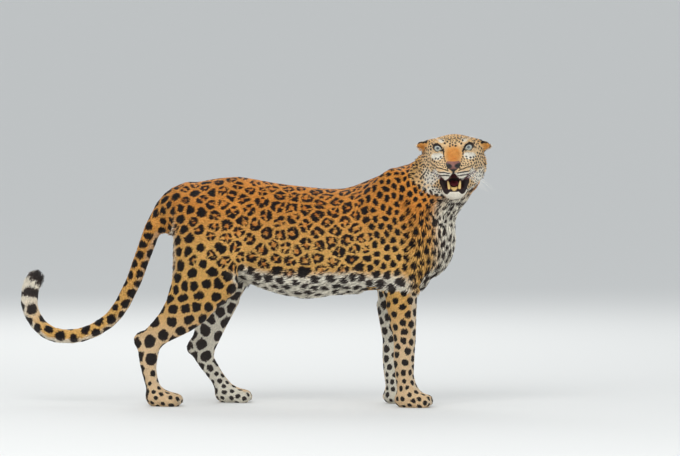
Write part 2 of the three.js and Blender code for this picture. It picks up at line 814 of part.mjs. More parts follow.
const leopard = new THREE.Group();
const flesh = {
  trunk: foreLeft.rest,
  neck: neckPiece,
  tail_base: tailBase,
  tail_middle: tailMiddle,
  tail_tip: tailTip,
  foreleg_right: foreRight.upper,
  foreleg_left: foreLeft.upper,
  hindleg_right: hindRight.upper,
  hindleg_left: hindLeft.upper,
  forepaw_right: foreRight.foot,
  forepaw_left: foreLeft.foot,
  hindpaw_right: hindRight.foot,
  hindpaw_left: hindLeft.foot,
};
for (const [name, solid] of Object.entries(flesh)) piece(name, geometryOf(solid), coat, leopard);

const headGroup = new THREE.Group();
headGroup.applyMatrix4(headFrame);
leopard.add(headGroup);
piece("head", geometryOf(headLast), coat, headGroup);
piece("jaw_lower", geometryOf(jaw), paleCoat, headGroup);
piece("ear_left", geometryOf(earLeft), coat, headGroup);
piece("ear_right", geometryOf(earRight), coat, headGroup);
piece("nose", geometryOf(nosePad), noseSkin, headGroup);
piece("tongue", geometryOf(tongue), tongueSkin, headGroup);
for (const [name, s] of [["eye_left", 1], ["eye_right", -1]]) {
  piece(name, ball(EYE_RADIUS, 3), eyeball, headGroup).position.copy(eyeAt(s));
}

// The origin is on the floor, below the middle of the animal's box.
leopard.updateMatrixWorld(true);
const middle = new THREE.Box3().setFromObject(leopard, true).getCenter(v3(0, 0, 0));
leopard.position.set(-middle.x, -middle.y, 0);

export default leopard;
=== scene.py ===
import math

import bpy
import numpy as np
from mathutils import Euler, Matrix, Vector, kdtree


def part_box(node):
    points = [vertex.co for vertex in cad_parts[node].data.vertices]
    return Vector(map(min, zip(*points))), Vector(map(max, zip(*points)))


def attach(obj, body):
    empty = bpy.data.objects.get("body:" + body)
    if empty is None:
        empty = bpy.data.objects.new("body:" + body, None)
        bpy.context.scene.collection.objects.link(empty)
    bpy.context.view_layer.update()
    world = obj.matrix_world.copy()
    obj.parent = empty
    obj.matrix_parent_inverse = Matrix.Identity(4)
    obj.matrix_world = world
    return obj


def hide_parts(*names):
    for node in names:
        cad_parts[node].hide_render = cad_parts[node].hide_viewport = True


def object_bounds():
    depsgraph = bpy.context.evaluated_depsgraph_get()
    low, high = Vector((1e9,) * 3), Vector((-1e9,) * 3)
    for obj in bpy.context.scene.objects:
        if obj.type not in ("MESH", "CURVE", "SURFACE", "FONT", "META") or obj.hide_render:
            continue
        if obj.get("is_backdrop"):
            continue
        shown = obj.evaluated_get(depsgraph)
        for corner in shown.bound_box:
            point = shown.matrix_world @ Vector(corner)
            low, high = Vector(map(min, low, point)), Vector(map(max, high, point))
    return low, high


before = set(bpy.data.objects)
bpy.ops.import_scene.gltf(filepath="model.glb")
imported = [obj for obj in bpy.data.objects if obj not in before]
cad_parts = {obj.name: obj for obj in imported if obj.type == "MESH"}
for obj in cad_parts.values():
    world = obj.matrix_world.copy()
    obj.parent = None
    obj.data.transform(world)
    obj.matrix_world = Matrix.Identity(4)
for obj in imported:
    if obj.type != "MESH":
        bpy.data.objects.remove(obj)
cad_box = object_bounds()

# The stand: a plain pale studio floor and soft light, with the camera at the animal's right side, a little
# above its back and far off, so that near and far legs keep the same size. Places on the animal are in
# metres from the point of the floor that its lengths are measured from, +X forwards and +Y to its left.
EYES_ON_BODY = np.array([0.422, -0.138, 0.700])
HEAD_TURN = Euler([math.radians(a) for a in (2.0, 10.0, -87.5)], "XYZ").to_matrix()
head_axes = np.array(HEAD_TURN)  # its columns point forwards, left and up, as the head sees them
EYE_SET_BACK = 0.006
EYE_SPREAD = 37.0  # from the middle of the face, in millimetres
EYE_RADIUS = 0.016


def middle_of(node):
    low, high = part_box(node)
    return np.array((low + high) / 2)


eye_centres = {"left": middle_of("eye_left"), "right": middle_of("eye_right")}
head_origin = (eye_centres["left"] + eye_centres["right"]) / 2 + EYE_SET_BACK * head_axes[:, 0]
body_origin = head_origin - EYES_ON_BODY

LOOK_AT = np.array([0.108, 0.0, 0.4785])
AZIMUTH, ELEVATION, DISTANCE = math.radians(4), math.radians(3), 24.0
PICTURE_WIDTH, PIXEL = 680, 0.0027  # in pixels, and in metres of the animal to each
SENSOR = 36.0  # width, in millimetres
camera_data = bpy.data.cameras.new("camera")
camera_data.sensor_width = SENSOR
camera_data.lens = SENSOR * DISTANCE / (PICTURE_WIDTH * PIXEL)
camera_data.clip_end = 200
camera = bpy.data.objects.new("camera", camera_data)
bpy.context.collection.objects.link(camera)
level_back = math.cos(ELEVATION)
camera_back = Vector((math.sin(AZIMUTH) * level_back, -math.cos(AZIMUTH) * level_back, math.sin(ELEVATION)))
camera.location = Vector(LOOK_AT + body_origin) + camera_back * DISTANCE
camera.rotation_mode = "QUATERNION"
camera.rotation_quaternion = (-camera_back).to_track_quat("-Z", "Y")
bpy.context.scene.camera = camera

bpy.ops.object.select_all(action="DESELECT")
FLOOR_WIDTH = 160
bpy.ops.mesh.primitive_plane_add(size=FLOOR_WIDTH, location=(0, 0, 0))
floor = bpy.context.object
floor.name = "studio_floor"
floor_paint = bpy.data.materials.new("floor_paint")
floor_paint.use_nodes = True
floor_shader = floor_paint.node_tree.nodes["Principled BSDF"]
floor_shader.inputs["Base Color"].default_value = (0.74, 0.74, 0.72, 1)
floor_shader.inputs["Roughness"].default_value = 0.95
floor_shader.inputs["Specular IOR Level"].default_value = 0.1
floor.data.materials.append(floor_paint)
floor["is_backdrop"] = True

studio = bpy.data.worlds.new("studio")
studio.use_nodes = True
sky = studio.node_tree.nodes["Background"]
sky.inputs["Color"].default_value = (0.92, 0.96, 1.0, 1)
sky.inputs["Strength"].default_value = 0.75
bpy.context.scene.world = studio
LIT_PLACE = Vector((0, 0, 0.4))  # what the lights point at
SOFTBOXES = {  # place and size in metres, and power in watts
    "key_light": ((-0.9, -3.2, 3.4), 2.6, 85),
    "fill_light": ((2.8, -2.6, 1.4), 2.4, 22),
    "back_light": ((-0.6, 3.0, 2.8), 3.0, 50),
}
for name, (place, size, power) in SOFTBOXES.items():
    softbox = bpy.data.lights.new(name, "AREA")
    softbox.size = size
    softbox.energy = power
    lamp = bpy.data.objects.new(name, softbox)
    lamp.location = place
    lamp.rotation_mode = "QUATERNION"
    lamp.rotation_quaternion = (LIT_PLACE - Vector(place)).to_track_quat("-Z", "Y")
    bpy.context.collection.objects.link(lamp)
bpy.context.scene.view_settings.view_transform = "Standard"

# The skin: one hide over the whole animal, from nose to tail tip. Copies of the flesh, with the eyes and
# nose in place, are grown together into one closed surface, smoothed, drawn in by the depth of the coat,
# and made finer over the head.
FLESH = [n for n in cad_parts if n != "tongue"]
BODY_GRAIN = 0.0054  # width of its faces on the body
SEAM_FILL = 0.0005  # that each part grows by, so that no gap stays between two parts
rng = np.random.default_rng(7)


def only(obj):
    bpy.ops.object.select_all(action="DESELECT")
    obj.select_set(True)
    bpy.context.view_layer.objects.active = obj


def edit_all(work, **options):  # one operation on the whole mesh of the active piece
    bpy.ops.object.mode_set(mode="EDIT")
    bpy.ops.mesh.select_all(action="SELECT")
    work(**options)
    bpy.ops.object.mode_set(mode="OBJECT")


def read(items, field, width, kind=np.float32):  # one row of the field for each item
    flat = np.empty(len(items) * width, kind)
    items.foreach_get(field, flat)
    return flat.reshape(-1, width)


def vertices_of(obj):
    return read(obj.data.vertices, "co", 3).astype(float)


def normals_of(obj):
    return read(obj.data.vertices, "normal", 3).astype(float)


def move_vertices(obj, points):
    obj.data.vertices.foreach_set("co", points.astype(np.float32).ravel())
    obj.data.update()


def on_body(points):  # in millimetres on the animal
    return (points - body_origin) * 1000


def on_head(points):  # in millimetres on the head: forwards, left and up from between the eyes
    return (points - head_origin) @ head_axes * 1000


def unit(vectors):
    return vectors / np.maximum(np.linalg.norm(vectors, axis=-1, keepdims=True), 1e-9)


def ramp(value, start, end):  # 0 at start, 1 at end, and smooth between them
    t = np.clip((value - start) / (end - start), 0, 1)
    return t * t * (3 - 2 * t)


NAPE = (0.75, 0, 0.66)  # square to the cut between head and neck
NECK_END, HEAD_START = -108, -84  # along NAPE


def head_share(head):  # 1 on the head and 0 behind the nape
    return ramp(head @ NAPE, NECK_END, HEAD_START)


# The jaw hangs open about its hinge. Its teeth are made apart, so here they are pressed down into the gum.
GAPE = math.radians(16)
HINGE = np.array([-50.0, 0.0, -55.0])


def about_hinge(head, angle):
    x, z = head[:, 0] - HINGE[0], head[:, 2] - HINGE[2]
    cos, sin = math.cos(angle), math.sin(angle)
    return np.stack([x * cos - z * sin + HINGE[0], head[:, 1], x * sin + z * cos + HINGE[2]], axis=1)


def on_jaw(head):  # the same place with the mouth shut
    return about_hinge(head, GAPE)


def off_jaw(jaw):
    return about_hinge(jaw, -GAPE)


def off_head(head):
    return head / 1000 @ head_axes.T + head_origin


GUM_HEIGHT = -70.0  # on the shut jaw, where the teeth come out of it
copies = []
for node in FLESH:
    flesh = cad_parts[node]
    flesh_copy = flesh.copy()
    flesh_copy.data = flesh.data.copy()
    flesh_copy.data.materials.clear()
    flesh_copy.parent = None
    bpy.context.collection.objects.link(flesh_copy)
    if node == "jaw_lower":
        flesh_points = vertices_of(flesh_copy)
        jaw = on_jaw(on_head(flesh_points))
        tooth = (jaw[:, 0] > 40) & (abs(jaw[:, 1]) < 27) & (jaw[:, 2] > GUM_HEIGHT)
        jaw[tooth, 2] = GUM_HEIGHT
        flesh_points[tooth] = off_head(off_jaw(jaw[tooth]))
        move_vertices(flesh_copy, flesh_points)
    copies.append(flesh_copy)
only(copies[0])
for flesh_copy in copies:
    flesh_copy.select_set(True)
bpy.ops.object.join()
skin = bpy.context.object
skin.name = "skin"
edit_all(bpy.ops.mesh.remove_doubles, threshold=1e-5)
edit_all(bpy.ops.transform.shrink_fatten, value=SEAM_FILL)
grown = skin.modifiers.new("grown", "REMESH")
grown.mode = "VOXEL"
grown.voxel_size = BODY_GRAIN
bpy.ops.object.modifier_apply(modifier=grown.name)
even = skin.modifiers.new("even", "SMOOTH")
even.factor = 0.5
even.iterations = 8
bpy.ops.object.modifier_apply(modifier=even.name)


def edit_chosen(obj, kind, items, chosen, work, **options):  # one operation on the chosen items of its mesh
    only(obj)
    bpy.ops.object.mode_set(mode="EDIT")
    bpy.ops.mesh.select_mode(type=kind)
    bpy.ops.mesh.select_all(action="DESELECT")
    bpy.ops.object.mode_set(mode="OBJECT")
    items.foreach_set("select", chosen)
    bpy.ops.object.mode_set(mode="EDIT")
    work(**options)
    bpy.ops.object.mode_set(mode="OBJECT")


def refine(obj, wanted):  # cuts each face whose corners are all wanted in four
    chosen = wanted[face_corners(obj)].all(axis=1)
    edit_chosen(obj, "FACE", obj.data.polygons, chosen, bpy.ops.mesh.subdivide, number_cuts=1, smoothness=0)


def face_corners(obj):  # four vertex numbers a face, where a triangle repeats its first
    polygons = obj.data.polygons
    starts = read(polygons, "loop_start", 1, np.int32)[:, 0]
    totals = read(polygons, "loop_total", 1, np.int32)[:, 0]
    corners = read(obj.data.loops, "vertex_index", 1, np.int32)[:, 0]
    return np.stack([corners[starts + np.minimum(i, totals - 1)] for i in range(4)], axis=1)


def relax(obj, points, share, rounds):  # evens out the surface where share is 1
    a, b = read(obj.data.edges, "vertices", 2, np.int32).T
    count = np.bincount(np.concatenate([a, b]), minlength=len(points))[:, None]
    for _ in range(rounds):
        total = np.zeros_like(points)
        for axis in range(3):
            total[:, axis] = np.bincount(a, points[b, axis], len(points))
            total[:, axis] += np.bincount(b, points[a, axis], len(points))
        points = points + (total / count - points) * 0.5 * share[:, None]
    return points


COAT_DEPTH = {"body": 5.0, "head": 2.0, "foot": 2.0}
FOOT_TOP, SOLE_TOP = 150, 1.5  # heights over the floor
skin_points = vertices_of(skin)
body = on_body(skin_points)
head = on_head(skin_points)
depth = COAT_DEPTH["body"] + (COAT_DEPTH["head"] - COAT_DEPTH["body"]) * head_share(head)
foot_depth = COAT_DEPTH["foot"] + body[:, 2] * 0.02
depth = np.where(body[:, 2] < FOOT_TOP, np.minimum(depth, foot_depth), depth)
under_chest = ramp(body[:, 0], 300, 370) * ramp(body[:, 2], 300, 340) * (1 - head_share(head))
under_belly = ramp(body[:, 2], 345, 310) * ramp(abs(body[:, 0] - 20), 250, 200) * ramp(body[:, 2], 270, 285)
depth += 5 * under_chest + 4 * under_belly
depth[body[:, 2] < SOLE_TOP] = 0
move_vertices(skin, skin_points - normals_of(skin) * depth[:, None] / 1000)

FINE_FROM = -98  # along NAPE
refine(skin, on_head(vertices_of(skin)) @ NAPE > FINE_FROM)
head = on_head(vertices_of(skin))
face = (head[:, 0] > -12) & (head[:, 2] > -140) & (head[:, 2] < 30) & (abs(head[:, 1]) < 62)
refine(skin, face)
skin_points = vertices_of(skin)
head = on_head(skin_points)
skin_points = relax(skin, skin_points, ramp(head @ NAPE, FINE_FROM, FINE_FROM + 8), 4)
move_vertices(skin, skin_points)

# The face: muzzle, nose, whisker pads, brows and lids are drawn out of the skin or pressed into it, as a
# modeller does with a thumb. Each touch has a place, a reach and a push in millimetres on the head, and is
# done on both sides.
TOUCHES = [
    ((66, 18, -50), (20, 16, 14), 5.0),  # whisker pad
    ((46, 34, -54), (22, 13, 15), 3.5),
    ((16, 46, -62), (16, 12, 12), -3.0),  # behind the corner of the mouth
    ((62, 19, -26), (16, 5, 6), -2.0),  # crease over the pad
    ((30, 18, -8), (18, 6, 8), -1.5),  # side of the bridge of the nose
    ((24, 27, -12), (10, 6, 7), -2.0),  # below the inner corner of the eye
    ((-4, 26, 20), (14, 9, 7), 1.5),  # brow
    ((-30, 8, 24), (26, 6, 10), 0.8),
    ((84, 10.5, -28.5), (11, 5.2, 4.6), -9.0),  # nostril
    ((79, 17, -31), (10, 5, 3), -6.0),
    ((87, 0, -36), (7, 1.8, 9), -1.5),  # groove down the nose
    ((86, 0, -45), (8, 2.2, 6), -3.0),  # groove of the upper lip
    ((84, 0, -53), (9, 2.4, 7), -3.5),
    ((74, 9, -61), (14, 9, 6), 1.5),  # edge of the upper lip
]


def near_to(points, place, reach):  # 1 at the place and 0 at the reach
    away = (points - np.array(place)) / reach
    return np.clip(1 - (away**2).sum(axis=1), 0, None)


def mirrors(place):  # one for each side of the head that has the place
    return [np.array([1, side, 1]) for side in ((1, -1) if place[1] else (1,))]


skin_points = vertices_of(skin)
head = on_head(skin_points)
push = np.zeros(len(head))
for place, reach, amount in TOUCHES:
    for mirror in mirrors(place):
        push += amount * near_to(head, place * mirror, reach) ** 2
move_vertices(skin, skin_points + normals_of(skin) * push[:, None] / 1000)

# The lips: the upper one hangs down over the jaw's corners, and the lower one stands up against the gum.
PULLS = [  # place, reach and move: forwards, left and up
    ((60, 19, -58), (36, 18, 18), (2, 1, -16)),
    ((34, 34, -62), (26, 16, 16), (2, 2, -13)),
    ((82, 0, -56), (20, 8, 12), (-3, 0, -2)),
]
skin_points = vertices_of(skin)
head = on_head(skin_points)
upper_jaw = ramp(on_jaw(head)[:, 2], -78, -66)
lip_move = np.zeros_like(head)  # how far each place of the upper lip comes down
for place, reach, amount in PULLS:
    for mirror in mirrors(place):
        share = near_to(head, place * mirror, reach) ** 1.5
        lip_move += (share * upper_jaw)[:, None] * np.array(amount) * mirror
head = head + lip_move
jaw = on_jaw(head)
LIP_RISE = 9
lip_lift = near_to(jaw, (72, 0, -74), (26, 36, 14)) ** 1.2 * ramp(jaw[:, 2], -58, -64)
jaw[:, 2] += LIP_RISE * lip_lift
head = np.where(lip_lift[:, None] > 0, off_jaw(jaw), head)
move_vertices(skin, off_head(head))

skin_points = vertices_of(skin)
head = on_head(skin_points)
jaw = on_jaw(head)
gum_share = ramp(jaw[:, 2], -86, -78) * ramp(jaw[:, 2], -60, -66) * (jaw[:, 0] > 24) * (abs(jaw[:, 1]) < 30)
skin_points = relax(skin, skin_points, gum_share * (head[:, 2] < -74 - 0.2 * head[:, 0]), 8)
move_vertices(skin, skin_points)

# The lids: the skin lies over each eyeball in a rim of its own thickness round an almond opening, slanted
# down to the nose, and is tucked in behind the ball inside it.
LID = 0.9  # thickness
LID_ROLL = 1.6  # that it is thicker a little way from its edge
BEHIND_BALL = 3.5  # depth that it is tucked in
OPEN_HALF = 0.78  # half the width of the opening, in radii of the eyeball
OPEN_UP, OPEN_DOWN = 0.46, 0.36
SLANT = 0.16
LID_REACH = 12  # that the lids reach out from the ball
RIM_HALF, RIM_UP, RIM_DOWN = 16.0, 12.2, 9.4  # half width of the black rim, and its height over and under
RIM_RISE, RIM_REACH = 0.8, 34  # of its middle over the ball's, and how far from there it is looked for


def eye_frame(side):
    out = unit(np.array([0.92, side * 0.36, 0.12]))
    across = np.array([-0.36 * side, 0.92, 0.0]) * side  # away from the nose
    across = unit(across - out * (out @ across))
    return out, across, np.cross(out, across) * side


def lid_distance(head, side):
    # Gives the distance from the edge of the opening, in radii and negative inside it, the ball's middle,
    # the way and the distance from there, how far outwards that way points, and the black rim, which is 1
    # at its edge.
    out, across, up = eye_frame(side)
    centre = np.array([-EYE_SET_BACK * 1000, side * EYE_SPREAD, 0.0])
    away = head - centre
    radius = np.linalg.norm(away, axis=1)
    x, y, z = away @ across / radius, away @ up / radius, away @ out / radius
    y = y - SLANT * x
    share = np.clip(1 - (x / OPEN_HALF) ** 2, 0, 1)
    inner = np.where(x < 0, 0.9, 0.62)
    edge = np.maximum(y - OPEN_UP * share**inner, -OPEN_DOWN * share**inner - y)
    edge = np.maximum(edge, (abs(x) - OPEN_HALF) * 1.2)
    above = y * radius - RIM_RISE
    rim = abs(x * radius / RIM_HALF) ** 1.4 + abs(above / np.where(above > 0, RIM_UP, RIM_DOWN)) ** 1.8
    return edge, centre, away, radius, z, rim


skin_points = vertices_of(skin)
head = on_head(skin_points)
for side in (1, -1):
    edge, centre, away, radius, facing, _ = lid_distance(head, side)
    ball = EYE_RADIUS * 1000
    near = (radius < ball + LID_REACH) & (facing > -0.1)
    lid = ball + LID + LID_ROLL * ramp(edge, 0.02, 0.3)
    outside = np.where(edge < 0.34, lid, np.maximum(radius, ball + 1.5))
    outside = outside + (np.maximum(radius, outside) - outside) * ramp(edge, 0.16, 0.75)
    inside = np.minimum(radius, ball - BEHIND_BALL)
    wanted = np.where(edge < 0, inside, outside)
    head = np.where(near[:, None], centre + away * (wanted / radius)[:, None], head)
skin_points = off_head(head)
move_vertices(skin, skin_points)
only(skin)
bpy.ops.object.shade_smooth()
edit_all(bpy.ops.uv.smart_project, angle_limit=math.radians(66), island_margin=0.0015)
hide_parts(*[n for n in FLESH if not n.startswith("eye_") and n != "nose"])
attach(skin, "root")

# The lie of the coat, its length and its ground colours, at every place of the hide. A leopard's hair is
# short and lies flat from nose to tail and down the legs. It is longer on belly, chest, cheeks, thighs and
# tail tip.
COAT_PARTS = {
    "body": ("trunk", "neck"),
    "head": ("head", "jaw", "ear", "eye", "nose"),
    "legs": ("fore", "hind"),
    "tail": ("tail",),
}
CORNER, EDGE, MIDDLE = (1, 0, 0), (0.5, 0.5, 0), (1 / 3, 1 / 3, 1 / 3)  # places on a triangle
SHARES = [np.roll(place, turn) for place in (CORNER, EDGE) for turn in range(3)] + [MIDDLE]
PARTS = sorted(FLESH)
part_points, part_of_point = [], []
for number, node in enumerate(PARTS):
    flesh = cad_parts[node]
    corners = vertices_of(flesh).reshape(-1, 3)
    triangles = corners[face_corners(flesh)[:, :3]]
    for share in SHARES:
        spread = np.tensordot(triangles, np.array(share), axes=([1], [0]))
        part_points.append(spread)
        part_of_point.append(np.full(len(spread), number))
part_points = np.concatenate(part_points)
part_of_point = np.concatenate(part_of_point)


def tree_of(points):
    tree = kdtree.KDTree(len(points))
    for number, point in enumerate(points):
        tree.insert(point, number)
    tree.balance()
    return tree


part_tree = tree_of(part_points)
skin_points = vertices_of(skin)
skin_normals = normals_of(skin)
part = np.array([part_of_point[part_tree.find(point)[1]] for point in skin_points])


def of_part(*words):
    wanted = [number for number, node in enumerate(PARTS) if node.startswith(words)]
    return np.isin(part, wanted)


body = on_body(skin_points)
head = on_head(skin_points)
x, y, z = body.T
fore, left, up = head.T
facing = skin_normals
head_facing = skin_normals @ head_axes
on_trunk, on_head_part, on_legs, on_tail = [of_part(*words) for words in COAT_PARTS.values()]
on_ear = of_part("ear")

EARS = {}  # the ear's axes, to its tip, across and out of its opening, and its root
for side, lift in ((1, -0.02), (-1, 0.12)):
    tip = unit(np.array([-0.2, side * 0.98, lift]))
    opening = np.array([0.6, side * 0.05, -0.8])
    opening = unit(opening - tip * (tip @ opening))
    EARS[side] = np.stack([tip, np.cross(opening, tip), opening], axis=1), np.array([-56, side * 44, -8])

TAIL_POINTS = (
    ((-300, 0, 566), (-352, -2, 538), (-390, -4, 491), (-423, -6, 410), (-457, -8, 319), (-511, -10, 232))
    + ((-597, -10, 186), (-682, -4, 192), (-731, 4, 248), (-734, 10, 306), (-722, 12, 334))
)
TAIL_LINE = np.array(TAIL_POINTS, float)


def along_line(points, line):
    # Gives how far along the line each point's nearest place is, how far off, and the line's course there.
    best = np.full(len(points), np.inf)
    at = np.zeros(len(points))
    course = np.zeros((len(points), 3))
    begun = 0.0
    for a, b in zip(line[:-1], line[1:]):
        span = b - a
        length = np.linalg.norm(span)
        t = np.clip((points - a) @ span / length**2, 0, 1)
        off = np.linalg.norm(points - a - t[:, None] * span, axis=1)
        closer = off < best
        best[closer] = off[closer]
        at[closer] = begun + t[closer] * length
        course[closer] = span / length
        begun += length
    return at, best, course


tail_at, _, tail_course = along_line(body, TAIL_LINE)

lay = np.tile((-1.0, 0.0, -0.25), (len(skin_points), 1))
front = ramp(x, 250, 350) * ramp(facing[:, 0], -0.2, 0.5)
lay += (np.array([-0.1, 0, -1]) - lay) * front[:, None]
lay[of_part("neck")] += (-0.2, 0.2, -0.5)
lay[on_legs] = (-0.2, 0, -1)
upper_leg = on_legs & (z > 260)
lay[upper_leg] = (-0.7, 0, -0.9)
paw = on_legs & (z < 45)
lay[paw] = (0.9, 0, -0.5)
lay[on_tail] = tail_course[on_tail]
NOSE_TIP = np.array([96, 0, -28])
face_lay = unit(head - NOSE_TIP) + (-0.45, 0, 0)
for side in (1, -1):
    face_lay[on_ear & (left * side > 0)] = EARS[side][0][:, 0]
lay[on_head_part] = (face_lay @ head_axes.T)[on_head_part]


def tangent(vectors, normals):
    flat = vectors - normals * (vectors * normals).sum(axis=1)[:, None]
    return flat / np.maximum(np.linalg.norm(flat, axis=1), 1e-6)[:, None]


lay = tangent(lay, skin_normals)
lay = relax(skin, lay, np.where(on_head_part, 0.5, 1.0), 8)
lay = tangent(lay, skin_normals)

length = np.full(len(skin_points), 11.0)
belly = on_trunk * ramp(z, 390, 330) * ramp(facing[:, 2], 0.2, -0.4) * ramp(x, 300, 240)
chest = front * on_trunk * ramp(z, 250, 320)
thigh_back = ramp(x, -310, -350) * ramp(facing[:, 0], -0.3, -0.8) * ramp(z, 330, 380) * ramp(z, 540, 480)
thigh_back = thigh_back * ~on_tail
tail_tip = on_tail * ramp(tail_at, 700, 800)
length += 8 * belly + 8 * chest + 8 * thigh_back + 8 * tail_tip
length[on_legs] = 6 + 3.5 * ramp(z[on_legs], 120, 330)
ruff = ramp(-fore, 10, 50) * ramp(up, -20, -60) * on_head_part
face_length = 3.2 + 2.5 * ramp(fore, 60, 0) + 3 * ramp(fore, 0, -70) + 5 * ruff
length[on_head_part] = face_length[on_head_part]
length = relax(skin, np.repeat(length[:, None], 3, axis=1), np.ones(len(length)), 12)[:, 0]

inner = np.where(y < 0, facing[:, 1], -facing[:, 1]) * on_legs
underside = on_trunk * ramp(z, 380, 338) * ramp(x, 330, 290)
underside = underside + on_trunk * ramp(facing[:, 2], -0.35, -0.7) * (z < 420)
chest_white = on_trunk * ramp(x, 338, 398) * ramp(facing[:, 0], -0.35, 0.45) * ramp(z, 630, 560)
white = np.clip(underside + chest_white, 0, 1)
white = np.maximum(white, on_legs * ramp(inner, 0.05, 0.5))
white = np.maximum(white, on_legs * 0.45 * ramp(z, 330, 160))
white = np.maximum(white, thigh_back)
white = np.maximum(white, on_legs * ramp(z, 420, 330) * ramp(facing[:, 0], 0.3, 0.8) * 0.6)
tail_under = (facing * np.cross(tail_course, (0, 1, 0))).sum(axis=1)  # inside of the curve
white = np.maximum(white, on_tail * ramp(tail_under, 0.1, 0.6) * (0.35 + 0.45 * ramp(tail_at, 300, 600)))
white = np.maximum(white, on_tail * 0.85 * ramp(tail_at, 560, 720))


def blob(place, reach):  # 1 at its middle and 0 at its edge, on the head
    return np.maximum.reduce([near_to(head, place * mirror, reach) for mirror in mirrors(place)])


FACE_WHITE = (  # place, reach and strength of each pale patch
    ((-2, 30, 20), (20, 11, 8), 1.5),  # over the eye
    ((10, 38, -19), (32, 22, 11), 2.6),  # under the eye
    ((70, 18, -58), (34, 30, 18), 1.8),  # lip
    ((40, 44, -60), (40, 22, 22), 1.2),
    ((30, 0, -118), (70, 44, 34), 4.0),  # chin
    ((-14, 60, -74), (50, 34, 36), 1.0),  # cheek
    ((-40, 30, -120), (80, 60, 40), 2.0),  # throat
)
pale_patches = [np.clip(blob(place, reach) * strength, 0, 1) for place, reach, strength in FACE_WHITE]
face_white = np.maximum.reduce(pale_patches)
white[on_head_part] = np.maximum(0.40 * ramp(fore, -75, -10), face_white)[on_head_part]
forehead = ramp(up, 4, 24) * ramp(fore, 20, -10)
white[on_head_part] = (white * (1 - 0.5 * forehead))[on_head_part]

deep = ramp(z, 400, 560) * (on_trunk | on_legs) * (1 - white)
bridge = np.clip(blob((40, 0, -8), (66, 27, 32)) * 1.1, 0, 0.9) * ramp(up, 18, 0)
deep[on_head_part] = (0.8 * ramp(fore, -10, -90) * ramp(up, -60, -10))[on_head_part]
deep = np.maximum(deep, bridge)
deep[on_tail] = 0.7 * ramp(tail_at[on_tail], 400, 100)
white = white * (1 - bridge)

ear_black = np.zeros(len(skin_points))
ear_fringe = np.zeros(len(skin_points))
for side in (1, -1):
    axes, root = EARS[side]
    in_ear = (head - root) @ axes
    behind = ramp(head_facing @ axes[:, 2], 0.15, -0.15)
    mine = on_ear & (left * side > 0)
    patch = ramp(abs(in_ear[:, 0] - 34), 9, 6) * ramp(head_facing @ axes[:, 2], -0.5, -0.75)
    black = np.maximum(behind * ramp(in_ear[:, 0], 8, 16) * (1 - patch), ramp(in_ear[:, 0], 46, 51))
    ear_black[mine] = black[mine]
    white[mine] = (behind * patch + (1 - behind) * 0.15 * ramp(in_ear[:, 0], 50, 20))[mine]
    deep[mine] = ((1 - behind) * 0.8)[mine]
    fringe = (1 - behind) * ramp(-side * in_ear[:, 1], 4, 12) * ramp(in_ear[:, 0], 50, 40)
    ear_fringe[mine] = fringe[mine]
    white[mine] = np.maximum(white, fringe)[mine]

# Where the inside of the open mouth is. It is painted dark red: the flesh's own red, darkened with painted
# shade.
MOUTH_CORNER = 14.0
shut = head - lip_move
crest = np.clip(10 - abs(shut[:, 1]) * 0.5, 0, None) * 0.7
over_mouth = shut[:, 2] + 60 - crest
fall = math.tan(GAPE + math.radians(3))  # of the open mouth's lower side
under_mouth = -62 - np.clip(shut[:, 0] - MOUTH_CORNER, 0, None) * fall - shut[:, 2]
wedge = np.maximum(np.maximum(over_mouth, under_mouth), MOUTH_CORNER - shut[:, 0])
palate = ((shut - (40, 0, -60)) / (37, 20, 14)) ** 2
mouth = ramp(wedge, 2.4, 1.0)
mouth = np.maximum(mouth, ramp(palate.sum(axis=1), 1.15, 1.0))
mouth[~on_head_part] = 0
jaw = on_jaw(head)
on_lower_jaw = (up < -68 - 0.17 * fore) & (fore > 6) & on_head_part
lip_edge = -73 - 10 * ramp(abs(left), 10, 22) + 16 * ramp(abs(left), 25, 43)
lip = ramp(jaw[:, 2], lip_edge - 1.5, lip_edge + 0.5) * on_lower_jaw * ramp(abs(left), 42, 38)
floor_up = (head_facing @ np.array([-math.sin(GAPE), 0, math.cos(GAPE)]) > 0.35) & (abs(left) < 21)
mouth = np.maximum(mouth, on_lower_jaw * floor_up * ramp(jaw[:, 2], -82, -78) * ramp(jaw[:, 0], 78, 70))
lip = np.maximum(lip, ramp(wedge, 4.2, 3.0) * on_head_part)

eye_rim = np.zeros(len(skin_points))
eye_edge = np.full(len(skin_points), 9.0)
for side in (1, -1):
    edge, centre, away, radius, eye_facing, rim = lid_distance(head, side)
    near = (radius < RIM_REACH) & (eye_facing > 0)
    eye_edge[near] = np.minimum(eye_edge[near], edge[near])
    eye_rim[near] = np.maximum(eye_rim[near], ramp(rim, 1.05, 0.97)[near])

# Half widths of the bare nose, from its top down to the groove between the whisker pads.
HALF_WIDTHS = ((-20, 14), (-23, 18.5), (-28, 20.5), (-34, 17.5), (-40, 9.5), (-44, 4), (-58, 1.6), (-62, 0))
levels = [row[0] for row in reversed(HALF_WIDTHS)]
widths = [row[1] for row in reversed(HALF_WIDTHS)]
nose_half = np.interp(up, levels, widths, left=0, right=0)
nose_top = ramp(up + 0.006 * left ** 2, -18.5, -20)
leather = ramp(abs(left) - nose_half, 0.8, -0.4) * nose_top * (fore > 62) * (up > -62)
mouth = np.maximum(mouth, 0.14 * lip)
white = white * (1 - np.clip(lip, 0, 1))
bare = np.clip(np.maximum.reduce([mouth, lip, eye_rim * (eye_edge < 0.1), leather]), 0, 1)

